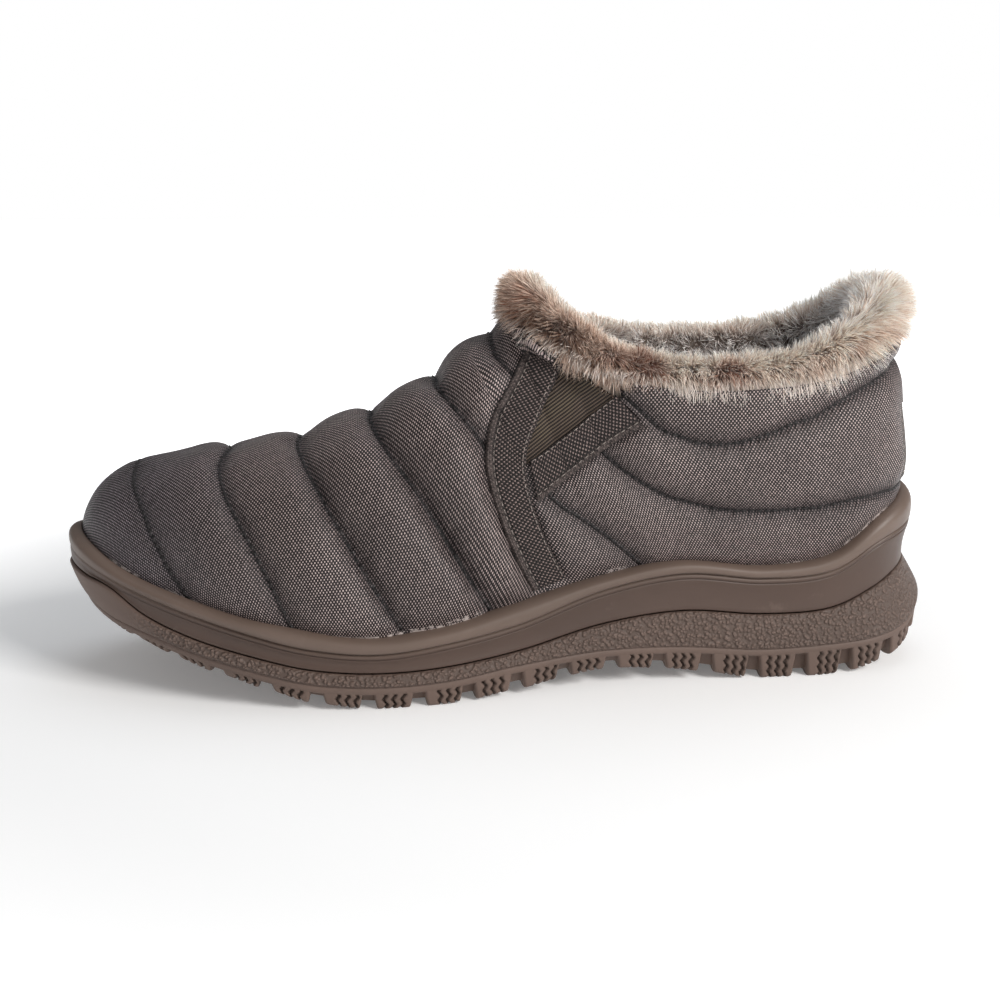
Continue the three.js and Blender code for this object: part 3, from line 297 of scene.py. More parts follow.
def side_uv(s, z, side):
    """Place on the surface whose station and height are s and z, on one side."""
    s, z = np.broadcast_arrays(np.asarray(s, float), np.asarray(z, float))
    shape = s.shape
    s, z = s.ravel(), z.ravel()
    u = np.array(run_at(np.clip(s - 18, 6, 250)), float)
    v = np.full_like(u, 0.5)
    q = (lambda a: a) if side > 0 else (lambda a: TURN - a)
    live = np.arange(len(s))
    for _ in range(40):
        ul, vl = u[live], v[live]
        p = form(q(ul), vl)
        a, b = form(q(ul + 0.02), vl), form(q(ul), vl + 0.01)
        j0, j1, j2, j3 = (a[:, 0] - p[:, 0]) / 0.02, (b[:, 0] - p[:, 0]) / 0.01, (a[:, 2] - p[:, 2]) / 0.02, (b[:, 2] - p[:, 2]) / 0.01
        det = j0 * j3 - j1 * j2
        det = np.where(np.abs(det) < 1e-6, 1e-6, det)
        es, ez = s[live] - p[:, 0], z[live] - p[:, 2]
        u[live] = ul + np.clip((es * j3 - ez * j1) / det, -0.5, 0.5)
        v[live] = np.clip(vl + np.clip((ez * j0 - es * j2) / det, -0.1, 0.1), 0.01, 0.999)
        live = live[np.abs(es) + np.abs(ez) > 0.002]
        if not len(live):
            break
    u, v = u.reshape(shape), v.reshape(shape)
    return q(u), v


def to_xyz(p):
    p = np.asarray(p, float)
    return np.stack([p[..., 1] - ORIGIN_X, ORIGIN_Y - p[..., 0], p[..., 2]], -1)

# ---------------------------------------------------------------- materials
class Nodes:
    """A material's node tree, with short ways to add nodes."""

    def __init__(self, name):
        self.mat = bpy.data.materials.new(name)
        self.mat.use_nodes = True
        self.t = self.mat.node_tree
        self.bsdf = self.t.nodes["Principled BSDF"]

    def put(self, socket, value):
        if value is None:
            return
        if isinstance(value, bpy.types.NodeSocket):
            self.t.links.new(value, socket)
        elif isinstance(value, (tuple, list)):
            socket.default_value = tuple(value) + (1.0,) * (len(socket.default_value) - len(value))
        else:
            socket.default_value = value

    def node(self, kind, **props):
        n = self.t.nodes.new(kind)
        for k, v in props.items():
            setattr(n, k, v)
        return n

    def math(self, op, a, b=None, c=None, clamp=False):
        n = self.node("ShaderNodeMath", operation=op, use_clamp=clamp)
        self.put(n.inputs[0], a)
        self.put(n.inputs[1], b)
        if c is not None:
            self.put(n.inputs[2], c)
        return n.outputs[0]

    def attr(self, name):
        return self.node("ShaderNodeAttribute", attribute_name=name).outputs["Fac"]

    def color_attr(self, name):
        return self.node("ShaderNodeAttribute", attribute_name=name).outputs["Color"]

    def uv(self, name="Weave"):
        n = self.node("ShaderNodeUVMap", uv_map=name)
        s = self.node("ShaderNodeSeparateXYZ")
        self.t.links.new(n.outputs[0], s.inputs[0])
        return s.outputs[0], s.outputs[1], n.outputs[0]

    def place(self):
        return self.node("ShaderNodeTexCoord").outputs["Object"]

    def noise(self, scale, detail=3.0, rough=0.55, vector=None, distortion=0.0):
        n = self.node("ShaderNodeTexNoise")
        self.put(n.inputs["Vector"], vector if vector is not None else self.place())
        n.inputs["Scale"].default_value = scale
        n.inputs["Detail"].default_value = detail
        n.inputs["Roughness"].default_value = rough
        n.inputs["Distortion"].default_value = distortion
        return n.outputs["Fac"]

    def voronoi(self, scale, feature="F1", vector=None, smooth=None):
        n = self.node("ShaderNodeTexVoronoi", feature=feature)
        self.put(n.inputs["Vector"], vector if vector is not None else self.place())
        n.inputs["Scale"].default_value = scale
        if smooth is not None:
            n.inputs["Smoothness"].default_value = smooth
        return n.outputs["Distance"]

    def ramp(self, value, stops, smooth=True):
        n = self.node("ShaderNodeValToRGB")
        r = n.color_ramp
        r.interpolation = "EASE" if smooth else "LINEAR"
        while len(r.elements) < len(stops):
            r.elements.new(0.5)
        for e, (at_, c) in zip(r.elements, stops):
            e.position = at_
            e.color = (c, c, c, 1.0) if isinstance(c, (int, float)) else tuple(c) + (1.0,)
        self.put(n.inputs[0], value)
        return n.outputs[0]

    def mix(self, f, a, b, blend="MIX"):
        n = self.node("ShaderNodeMix", data_type="RGBA", blend_type=blend)
        self.put(n.inputs[0], f)
        self.put(n.inputs[6], a)
        self.put(n.inputs[7], b)
        return n.outputs[2]

    def range(self, value, a, b, c=0.0, d=1.0):
        n = self.node("ShaderNodeMapRange", interpolation_type="SMOOTHSTEP")
        self.put(n.inputs[0], value)
        for k, x in zip((1, 2, 3, 4), (a, b, c, d)):
            n.inputs[k].default_value = x
        return n.outputs[0]

    def bump(self, height, distance, strength=1.0, normal=None):
        n = self.node("ShaderNodeBump")
        n.inputs["Strength"].default_value = strength
        n.inputs["Distance"].default_value = distance
        self.put(n.inputs["Height"], height)
        self.put(n.inputs["Normal"], normal)
        return n.outputs[0]

    def finish(self, color, rough, normal=None, **values):
        self.put(self.bsdf.inputs["Base Color"], color)
        self.put(self.bsdf.inputs["Roughness"], rough)
        self.put(self.bsdf.inputs["Normal"], normal)
        for k, v in values.items():
            self.bsdf.inputs[k.replace("_", " ")].default_value = v
        return self.mat


def cloth_weave(n, cx, cy, u, v):
    """Plain weave with cells of cx by cy mm: +1 on one set of crossings, -1 on the other."""
    a = n.math("COSINE", n.math("MULTIPLY", u, 100.0 * math.pi / cx))
    b = n.math("COSINE", n.math("MULTIPLY", v, 100.0 * math.pi / cy))
    return n.math("MULTIPLY", a, b)


def nylon_material():
    n = Nodes("quilted_nylon")
    u, v, _ = n.uv()
    w = cloth_weave(n, 0.54, 0.67, u, v)
    grain = n.noise(900.0, 2.0)
    dot = n.range(n.math("ADD", w, n.math("MULTIPLY", n.math("SUBTRACT", grain, 0.5), 1.0)), 0.22, 0.82)
    slow = n.noise(26.0, 3.0)
    base = n.mix(n.range(w, -1.0, 0.3), (0.0060, 0.0044, 0.0043), (0.0185, 0.0138, 0.0135))
    # pale specks on the thread crossings: the weave's own pattern, with a painted glint on each
    speck_and_glint = n.mix(n.range(slow, 0.35, 0.7), (0.395, 0.312, 0.298), (0.535, 0.425, 0.406))
    color = n.mix(dot, base, speck_and_glint)
    # darker and bluer towards the toe: partly the cloth's own tone, partly painted shade
    toe = n.range(n.attr("stn"), 212.0, 262.0)
    color = n.mix(n.math("MULTIPLY", toe, 0.95), color, n.mix(1.0, color, (0.62, 0.66, 0.76), "MULTIPLY"))
    seam = n.math("MAXIMUM", n.math("ABSOLUTE", n.attr("seam")), n.math("SUBTRACT", n.attr("seamd"), 1.1))
    along = n.attr("along")
    beat = n.math("ADD", 0.5, n.math("MULTIPLY", 0.5, n.math("COSINE", n.math("MULTIPLY", along, 2 * math.pi / 2.5))))
    # threads pulled straight across, next to the stitches: their own relief, and a painted sheen on them
    pull = n.node("ShaderNodeTexNoise")
    line = n.node("ShaderNodeCombineXYZ")
    n.put(line.inputs[0], along)
    n.put(line.inputs[1], n.math("MULTIPLY", n.attr("seam"), 0.30))
    n.put(pull.inputs["Vector"], line.outputs[0])
    pull.inputs["Scale"].default_value, pull.inputs["Detail"].default_value = 1.5, 2.0
    drawn = n.math("MULTIPLY", n.range(pull.outputs["Fac"], 0.46, 0.66), n.math("MULTIPLY", n.range(seam, 0.3, 1.0), n.range(seam, 6.0, 1.0)))
    color = n.mix(n.math("MULTIPLY", drawn, 0.34), color, (0.180, 0.146, 0.138))
    # painted shade along the crease of each stitched channel
    near = n.range(seam, 0.0, 1.5)
    color = n.mix(n.math("SUBTRACT", 1.0, near), color, n.mix(1.0, color, (0.40, 0.38, 0.40), "MULTIPLY"))
    # painted shade in the hollows along the channels, and a painted highlight on the puffs between them
    hollow = n.math("SUBTRACT", 1.0, n.range(n.attr("seamd"), 0.3, 6.5))
    color = n.mix(n.math("MULTIPLY", hollow, 0.8), n.mix(1.0, color, (1.09, 1.08, 1.07), "MULTIPLY"), n.mix(1.0, color, (0.60, 0.59, 0.61), "MULTIPLY"))
    # painted shade in the needle holes between the stitches
    hole = n.math("MULTIPLY", n.range(seam, 0.55, 0.15), n.range(beat, 0.25, 0.85))
    color = n.mix(hole, color, (0.008, 0.007, 0.007))
    # painted shade on the nylon where it runs under the webbing's edges
    edge = n.range(n.attr("bandd"), 0.0, 1.6)
    color = n.mix(n.math("MULTIPLY", n.math("SUBTRACT", 1.0, edge), 0.8), color, n.mix(1.0, color, (0.45, 0.42, 0.42), "MULTIPLY"))
    # pale cement and frayed threads along the rim, broken up
    low = n.range(n.math("ADD", n.attr("rimd"), n.math("MULTIPLY", n.noise(500.0, 2.0), 0.9)), 1.15, 0.75)
    bits = n.range(n.noise(420.0, 3.0, 0.7), 0.42, 0.56)
    patch = n.range(n.noise(40.0, 3.0), 0.42, 0.56)
    pale = n.math("MULTIPLY", low, n.math("MULTIPLY", bits, patch))
    color = n.mix(pale, color, (0.52, 0.45, 0.42))
    crease = n.range(seam, 0.0, 0.9)
    h1 = n.bump(crease, 0.0007, 0.9)
    puck = n.math("MULTIPLY", n.math("SUBTRACT", 1.0, beat), n.range(seam, 2.6, 0.2))
    h1 = n.bump(puck, 0.00045, 0.8, h1)
    h1 = n.bump(drawn, 0.00022, 0.8, h1)
    h2 = n.bump(n.math("ABSOLUTE", w), 0.00010, 0.8, h1)
    h3 = n.bump(n.noise(140.0, 3.0), 0.00035, 0.5, h2)
    rough = n.math("ADD", 0.52, n.math("MULTIPLY", dot, -0.16))
    return n.finish(color, rough, h3, Sheen_Weight=0.03, Sheen_Roughness=0.45, Specular_IOR_Level=0.32)


def rubber_material(name, base, pebble=False, rough=0.5):
    n = Nodes(name)
    slow = n.noise(20.0, 4.0)
    fine = n.noise(420.0, 3.0)
    color = n.mix(n.range(slow, 0.3, 0.7), tuple(c * 0.90 for c in base), tuple(c * 1.10 for c in base))
    # painted shade on the midsole's wall under the bead
    color = n.mix(n.math("MULTIPLY", n.attr("lower"), 0.9), color, n.mix(1.0, color, (0.52, 0.445, 0.42), "MULTIPLY"))
    dust = n.math("MULTIPLY", n.range(n.noise(70.0, 6.0, 0.7), 0.56, 0.72), 0.22)
    color = n.mix(dust, color, tuple(min(1, c * 1.5 + 0.02) for c in base))
    if pebble:
        mask = n.attr("pebble")
        warp = n.node("ShaderNodeVectorMath", operation="ADD")
        noise = n.node("ShaderNodeTexNoise")
        n.put(noise.inputs["Vector"], n.place())
        noise.inputs["Scale"].default_value = 380.0
        scaled = n.node("ShaderNodeVectorMath", operation="SCALE")
        n.put(scaled.inputs[0], noise.outputs["Color"])
        scaled.inputs["Scale"].default_value = 0.0011
        n.put(warp.inputs[0], n.place())
        n.put(warp.inputs[1], scaled.outputs[0])
        cells = n.voronoi(860.0, "SMOOTH_F1", warp.outputs[0], 0.5)
        pits = n.range(cells, 0.15, 0.75)
        tall = n.math("MULTIPLY", n.math("SUBTRACT", 1.0, pits), mask)
        tops = n.math("MULTIPLY", n.range(cells, 0.42, 0.08), mask)
        # painted shade in the pebble's pits and a painted highlight on its tops, over the bump
        color = n.mix(n.math("MULTIPLY", pits, n.math("MULTIPLY", mask, 0.60)), color, tuple(c * 0.45 for c in base))
        color = n.mix(n.math("MULTIPLY", tops, 0.35), color, tuple(min(1, c * 1.45) for c in base))
        # painted shade in the zigzag channels cut into the lugs
        color = n.mix(n.math("MULTIPLY", n.attr("groove"), 0.80), color, tuple(c * 0.30 for c in base))
        normal = n.bump(tall, 0.00060, 1.0)
        normal = n.bump(fine, 0.00008, 0.5, normal)
    else:
        normal = n.bump(fine, 0.00006, 0.5)
        normal = n.bump(n.noise(60.0, 2.0), 0.0005, 0.25, normal)
    r = n.math("ADD", rough, n.math("MULTIPLY", n.math("SUBTRACT", slow, 0.5), 0.25))
    return n.finish(color, r, normal, Specular_IOR_Level=0.4)


def webbing_material():
    n = Nodes("webbing")
    u, v, _ = n.uv()
    w = cloth_weave(n, 0.82, 0.66, u, v)
    grain = n.noise(1100.0, 2.0)
    dot = n.range(n.math("ADD", w, n.math("MULTIPLY", n.math("SUBTRACT", grain, 0.5), 1.5)), 0.15, 0.95)
    base = n.mix(n.range(w, -1.0, 0.4), (0.006, 0.0044, 0.0041), (0.022, 0.0163, 0.0150))
    color = n.mix(dot, base, (0.235, 0.174, 0.160))
    glint = n.range(n.noise(760.0, 1.0), 0.70, 0.78)
    color = n.mix(n.math("MULTIPLY", glint, n.math("MULTIPLY", dot, 0.7)), color, (0.42, 0.37, 0.33))
    strip = n.attr("strip")
    fuzz = n.mix(n.range(n.noise(700.0, 3.0), 0.3, 0.7), (0.026, 0.0195, 0.018), (0.110, 0.085, 0.078))
    color = n.mix(n.math("MULTIPLY", strip, 0.70), color, fuzz)
    # painted shade in the stitched groove and along the band's plain edge
    color = n.mix(n.attr("line"), color, (0.022, 0.018, 0.017))
    h = n.bump(n.math("ABSOLUTE", w), 0.00022, 1.0)
    h = n.bump(n.noise(900.0, 3.0), 0.00012, 0.6, h)
    return n.finish(color, 0.68, h, Sheen_Weight=0.04, Specular_IOR_Level=0.28)


def elastic_material():
    n = Nodes("elastic")
    u, v, _ = n.uv()
    ribs = n.math("COSINE", n.math("MULTIPLY", u, 100.0 * 2 * math.pi / 0.92))
    ticks = n.math("COSINE", n.math("MULTIPLY", v, 100.0 * 2 * math.pi / 0.62))
    top = n.range(n.math("ADD", ribs, n.math("MULTIPLY", ticks, 0.35)), -0.7, 1.0)
    slow = n.noise(60.0, 2.0)
    light = n.mix(n.range(slow, 0.4, 0.65), (0.112, 0.080, 0.060), (0.128, 0.098, 0.064))
    color = n.mix(top, (0.012, 0.0082, 0.0066), light)
    h = n.bump(top, 0.00018, 0.9)
    return n.finish(color, 0.6, h, Sheen_Weight=0.06, Specular_IOR_Level=0.3)


def pile_material(name, light, dark, scale=420.0):
    n = Nodes(name)
    a = n.noise(scale, 5.0, 0.7)
    b = n.noise(60.0, 3.0)
    color = n.mix(n.range(a, 0.3, 0.72), dark, light)
    color = n.mix(n.math("MULTIPLY", n.range(b, 0.45, 0.7), 0.4), color, dark)
    h = n.bump(a, 0.0011, 0.9)
    h = n.bump(n.noise(90.0, 3.0), 0.0016, 0.6, h)
    return n.finish(color, 0.95, h, Sheen_Weight=0.4, Sheen_Roughness=0.6, Specular_IOR_Level=0.1)


def strand_material():
    n = Nodes("long_pile")
    return n.finish(n.color_attr("tint"), 0.62, None, Sheen_Weight=0.25, Sheen_Roughness=0.5, Specular_IOR_Level=0.3)


def thread_material(name, color, rough=0.5):
    n = Nodes(name)
    a = n.noise(1500.0, 2.0)
    c = n.mix(n.range(a, 0.3, 0.7), tuple(x * 0.7 for x in color), tuple(min(1, x * 1.3) for x in color))
    return n.finish(c, rough, n.bump(a, 0.00005, 0.6), Specular_IOR_Level=0.4)


def patch_material():
    n = Nodes("label_patch")
    u, v, _ = n.uv()
    w = cloth_weave(n, 0.42, 0.42, u, v)
    color = n.mix(n.range(w, -0.6, 0.9), (0.050, 0.040, 0.036), (0.105, 0.086, 0.078))
    # painted shade in the stitched groove round the label
    color = n.mix(n.attr("line"), color, (0.030, 0.024, 0.022))
    h = n.bump(n.math("ABSOLUTE", w), 0.00010, 0.8)
    return n.finish(color, 0.7, h, Sheen_Weight=0.1, Specular_IOR_Level=0.35)


MAT = {
    "nylon": nylon_material(),
    "midsole": rubber_material("midsole_rubber", (0.124, 0.087, 0.069), False, 0.46),
    "outsole": rubber_material("outsole_rubber", (0.126, 0.085, 0.068), True, 0.58),
    "webbing": webbing_material(),
    "elastic": elastic_material(),
    "lining": pile_material("pile_lining", (0.70, 0.66, 0.62), (0.40, 0.36, 0.33)),
    "underfur": pile_material("pile_ground", (0.38, 0.32, 0.27), (0.13, 0.098, 0.08)),
    "insole": pile_material("pile_footbed", (0.42, 0.37, 0.33), (0.17, 0.145, 0.125), 520.0),
    "strand": strand_material(),
    "thread": thread_material("thread_dark", (0.020, 0.017, 0.017)),
    "thread_pale": thread_material("thread_pale", (0.235, 0.198, 0.178)),
    "patch": patch_material(),
}


def dress(o, mat, slot, *nodes):
    o.data.materials.append(MAT[mat])
    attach(o, "root")
    if nodes:
        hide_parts(*nodes)

# ---------------------------------------------------------------- camera and studio
scene = bpy.context.scene
scene.view_settings.view_transform = "Standard"
scene.view_settings.look = "None"
scene.view_settings.exposure = 0.0
scene.view_settings.gamma = 1.0


def make_camera():
    a, p = math.radians(5.5), math.radians(13.26)
    fw = Vector((-math.cos(a) * math.cos(p), math.sin(a) * math.cos(p), -math.sin(p)))
    rt = Vector((math.sin(a), math.cos(a), 0.0))
    up = rt.cross(fw)
    cam = bpy.data.objects.new("camera", bpy.data.cameras.new("camera"))
    cam.data.lens, cam.data.sensor_width, cam.data.sensor_fit = 47.95, 36.0, "HORIZONTAL"
    m = Matrix((rt, up, -fw)).transposed().to_4x4()
    m.translation = Vector((427.75, -41.49, 154.32)) * 0.001
    cam.matrix_world = m
    cam.data.clip_start, cam.data.clip_end = 0.01, 50.0
    scene.collection.objects.link(cam)
    scene.camera = cam


make_camera()


def area_light(name, place, target, size, power, color=(1, 1, 1), size_y=None):
    light = bpy.data.lights.new(name, "AREA")
    light.energy, light.size, light.color = power, size, color
    if size_y:
        light.shape, light.size_y = "RECTANGLE", size_y
    o = bpy.data.objects.new(name, light)
    o.location = place
    o.rotation_euler = (Vector(target) - Vector(place)).to_track_quat("-Z", "Y").to_euler()
    scene.collection.objects.link(o)
    return o


area_light("key", (0.85, 0.90, 0.80), (0, 0, 0.04), 0.55, 19.0, (1.0, 0.985, 0.965))
area_light("fill", (1.2, -0.9, 0.50), (0, 0, 0.05), 1.1, 1.6, (0.96, 0.98, 1.0))
area_light("top", (-0.45, 0.20, 1.3), (0, 0, 0.05), 1.0, 3.4, (0.86, 0.92, 1.0))
world = bpy.data.worlds.new("studio")
scene.world = world
world.use_nodes = True
_sky = world.node_tree.nodes["Background"]
_sky.inputs[0].default_value = (1, 1, 1, 1)
_sky.inputs[1].default_value = 0.27
# the backdrop is plain white to the eye
_path = world.node_tree.nodes.new("ShaderNodeLightPath")
_white = world.node_tree.nodes.new("ShaderNodeBackground")
_white.inputs[0].default_value = (1, 1, 1, 1)
_white.inputs[1].default_value = 1.0
_mix = world.node_tree.nodes.new("ShaderNodeMixShader")
world.node_tree.links.new(_path.outputs["Is Camera Ray"], _mix.inputs[0])
world.node_tree.links.new(_sky.outputs[0], _mix.inputs[1])
world.node_tree.links.new(_white.outputs[0], _mix.inputs[2])
world.node_tree.links.new(_mix.outputs[0], world.node_tree.nodes["World Output"].inputs[0])

# ---------------------------------------------------------------- making meshes
MM = 0.001


def to_m(p):
    return to_xyz(p) * MM


def mesh_object(name, points, quads=None, tris=None, smooth=True, uv=None, uvs=None, values=None, colors=None):
    """points in metres; uv: per point (n, 2) or a dict of maps per face corner; values: {name: per point numbers}."""
    points = np.asarray(points, np.float32).reshape(-1, 3)
    quads = np.zeros((0, 4), np.int32) if quads is None else np.asarray(quads, np.int32).reshape(-1, 4)
    tris = np.zeros((0, 3), np.int32) if tris is None else np.asarray(tris, np.int32).reshape(-1, 3)
    loops = np.concatenate([quads.ravel(), tris.ravel()])
    starts = np.concatenate([np.arange(len(quads)) * 4, len(quads) * 4 + np.arange(len(tris)) * 3]).astype(np.int32)
    me = bpy.data.meshes.new(name)
    me.vertices.add(len(points))
    me.vertices.foreach_set("co", points.ravel())
    me.loops.add(len(loops))
    me.loops.foreach_set("vertex_index", loops)
    me.polygons.add(len(starts))
    me.polygons.foreach_set("loop_start", starts)
    me.update(calc_edges=True)
    me.validate()
    if uv is not None:
        layer = me.uv_layers.new(name="Weave")
        layer.data.foreach_set("uv", np.asarray(uv, np.float32)[loops].ravel())
    for key, corner in (uvs or {}).items():
        layer = me.uv_layers.new(name=key)
        layer.data.foreach_set("uv", np.asarray(corner, np.float32).ravel())
    for key, val in (values or {}).items():
        att = me.attributes.new(key, "FLOAT", "POINT")
        att.data.foreach_set("value", np.asarray(val, np.float32).ravel())
    for key, val in (colors or {}).items():
        att = me.color_attributes.new(key, "FLOAT_COLOR", "POINT")
        rgba = np.ones((len(points), 4), np.float32)
        rgba[:, :3] = val
        att.data.foreach_set("color", rgba.ravel())
    if smooth:
        me.polygons.foreach_set("use_smooth", np.ones(len(starts), bool))
    o = bpy.data.objects.new(name, me)
    scene.collection.objects.link(o)
    return o


def grid_quads(n, m, wrap=False):
    """Quads of an n by m grid, point index i * m + j; wrap closes the run along n."""
    i = np.arange(n if wrap else n - 1)[:, None]
    j = np.arange(m - 1)[None]
    k = (i + 1) % n
    return np.stack([i * m + j, k * m + j, k * m + j + 1, i * m + j + 1], -1).reshape(-1, 4)


def noise1(x, seed=0.0):
    """Smooth value noise along a line, -1..1."""
    x = np.asarray(x, float) + seed * 37.17
    i = np.floor(x)
    f = x - i
    f = f * f * (3 - 2 * f)
    h = lambda k: np.modf(np.sin(k * 127.1 + 11.7) * 43758.5453)[0]
    a, b = h(i), h(i + 1)
    return a + (b - a) * f


def noise3(p, scale, seed=0.0):
    """Smooth value noise in space, -1..1; p in mm, scale the size of a cell."""
    q = np.asarray(p, float) / scale + seed * 13.7 + 500.0
    i = np.floor(q)
    f = q - i
    f = f * f * (3 - 2 * f)
    out = 0.0
    for dx in (0, 1):
        for dy in (0, 1):
            for dz in (0, 1):
                k = (i[..., 0] + dx) * 127.1 + (i[..., 1] + dy) * 311.7 + (i[..., 2] + dz) * 74.7
                h = np.modf(np.abs(np.sin(k) * 43758.5453))[0] * 2 - 1
                w = (f[..., 0] if dx else 1 - f[..., 0]) * (f[..., 1] if dy else 1 - f[..., 1]) * (f[..., 2] if dz else 1 - f[..., 2])
                out = out + h * w
    return out


# ---------------------------------------------------------------- quilt channels
# Channels across the vamp: share of the rib and foot station, on both sides.
CHANNELS = {
    "s1": [(0.117, 242.0), (0.225, 246.7), (0.308, 248.6), (0.364, 250.5), (0.461, 252.9), (0.541, 256.7), (0.604, 261.0), (0.670, 266.4), (0.757, 275.3), (0.816, 285.0)],
    "s2": [(0.10, 207.9), (0.298, 208.8), (0.461, 210.4), (0.628, 212.8), (0.771, 213.4), (0.851, 212.6), (0.92, 211.0), (1.0, 209.5)],
    "s3": [(0.10, 172.4), (0.242, 174.6), (0.43, 176.0), (0.632, 177.2), (0.823, 178.0), (0.927, 177.6), (1.0, 176.6)],
    "s4": [(0.08, 145.2), (0.204, 147.0), (0.482, 147.9), (0.746, 149.4), (0.885, 149.3), (1.0, 148.3)],
    "s5": [(0.40, 129.6), (0.555, 130.0), (0.677, 132.0), (0.861, 134.0), (1.0, 133.6)],
    "s6": [(0.60, 111.5), (0.712, 113.4), (0.774, 115.4), (0.851, 117.4), (0.948, 118.8), (1.0, 119.0)],
}
# Channels round the heel quarter, station and height.
QUARTER = {
    "sA": [(132.5, 63.8), (126.8, 58.2), (121.3, 54.7), (115.6, 50.6), (109.8, 46.2), (105.0, 42.0), (101.0, 38.4)],
    "sB": [(118.0, 78.6), (110.1, 71.2), (104.8, 67.3), (99.2, 63.7), (93.5, 60.8), (87.2, 59.0), (79.3, 56.8), (70.2, 55.6), (61.0, 55.3), (51.4, 55.5), (42.1, 56.2), (32.2, 57.8), (21.7, 58.7), (15.7, 58.9)],
    "sC": [(108.5, 92.6), (102.0, 87.0), (96.5, 82.2), (90.9, 79.9), (85.0, 77.9), (75.0, 77.3), (67.8, 78.9), (60.5, 81.0), (55.7, 83.0), (48.8, 84.8), (44.5, 87.0), (38.3, 90.2), (30.9, 93.3), (23.2, 96.6), (17.5, 99.6)],
}


def dense(rows, n):
    rows = np.asarray(rows, float)
    k = np.concatenate([[0], np.cumsum(np.hypot(*np.diff(rows, axis=0).T) + 1e-6)])
    t = np.linspace(0, k[-1], n)
    return np.stack([spl(k, rows[:, 0], t), spl(k, rows[:, 1], t)], 1)


def channel_uv():
    """Every channel as a run of (u, v) places, both sides."""
    runs = {}
    for name, rows in CHANNELS.items():
        rows = np.asarray(rows)
        v = np.linspace(rows[0, 0], rows[-1, 0], 160)
        foot = spl(rows[:, 0], rows[:, 1], v)
        if name == "s1":
            a = np.array(rows)
            d = np.concatenate([[0], np.cumsum(np.hypot(np.diff(a[:, 0]) * 60, np.diff(a[:, 1])))])
            t = np.linspace(0, d[-1], 200)
            v, foot = spl(d, a[:, 0], t), spl(d, a[:, 1], t)
        u = np.where(foot >= 284.99, HALF, run_at(foot))
        # one run from the outer side over the crown to the inner side
        runs[name] = np.concatenate([np.stack([u, v], 1), np.stack([TURN - u, v], 1)[::-1][1:]])
    for name, rows in QUARTER.items():
        d = dense(rows, 150)
        for side in (1, -1):
            u, v = side_uv(d[:, 0], d[:, 1], side)
            runs[name + ("_out" if side > 0 else "_in")] = np.stack([u, v], 1)
    # round the back of the heel
    for name in ("sB", "sC"):
        a, b = runs[name + "_out"][-1], runs[name + "_in"][-1]
        t = np.linspace(0, 1, 40)
        ua, ub = a[0], b[0] - TURN
        z0, z1 = form(a[0], a[1])[2], form(b[0], b[1])[2]
        u = ua + (ub - ua) * t
        v = share_at(np.mod(u, TURN), z0 + (z1 - z0) * t + (0.3 if name == "sB" else 0.9) * np.sin(np.pi * t))
        runs[name] = np.concatenate([runs.pop(name + "_out"), np.stack([np.mod(u, TURN), v], 1)[1:-1], runs.pop(name + "_in")[::-1]])
    return runs


RUNS = channel_uv()

# ---------------------------------------------------------------- nylon upper
def inside(poly, s, z):
    """Whether (s, z) lies in the polygon, for arrays."""
    poly = np.asarray(poly, float)
    hit = np.zeros(np.shape(s), bool)
    for k in range(len(poly)):
        (x0, y0), (x1, y1) = poly[k - 1], poly[k]
        if y0 == y1:
            continue
        cross = ((y0 > z) != (y1 > z)) & (s < (x1 - x0) * (z - y0) / (y1 - y0) + x0)
        hit ^= cross
    return hit


FORE_D, AFT_D = dense(FRONT_BAND_FORE, 60), dense(FRONT_BAND_AFT, 60)
RFORE_D, RAFT_D = dense(REAR_BAND_FORE, 50), dense(REAR_BAND_AFT, 50)
FRONT_POLY = np.concatenate([FORE_D, AFT_D[::-1]])
REAR_POLY = np.concatenate([RFORE_D, RAFT_D[::-1], [[108, 96]]])
_gf = AFT_D[AFT_D[:, 1] > 71.0] + [1.6, 0.0]
_ga = RFORE_D + [-1.0, -1.4]
JOIN_POLY = np.array([[141.0, 76.0], [137.0, 77.5], [129.0, 78.5], [129.0, 65.0], [133.6, 61.4], [139.0, 59.0]])
GORE_POLY = np.concatenate([[[_gf[0, 0] - 0.6, 112]], _gf, _ga, [[_ga[-1, 0] - 6.0, 112]]])


def half_columns(n):
    x = np.linspace(0, HALF, 4001)
    def arc(q):
        p = form(q, share_at(q, at("rim", q) + 4.0))
        return np.concatenate([[0], np.cumsum(np.linalg.norm(np.diff(p, axis=0), axis=1))])
    a = arc(x) + arc(TURN - x)
    c = np.interp(np.linspace(0, a[-1], n), a, x)
    c[np.argmin(np.abs(c - U_THROAT))] = U_THROAT
    c[0], c[-1] = 0.0, HALF
    return c


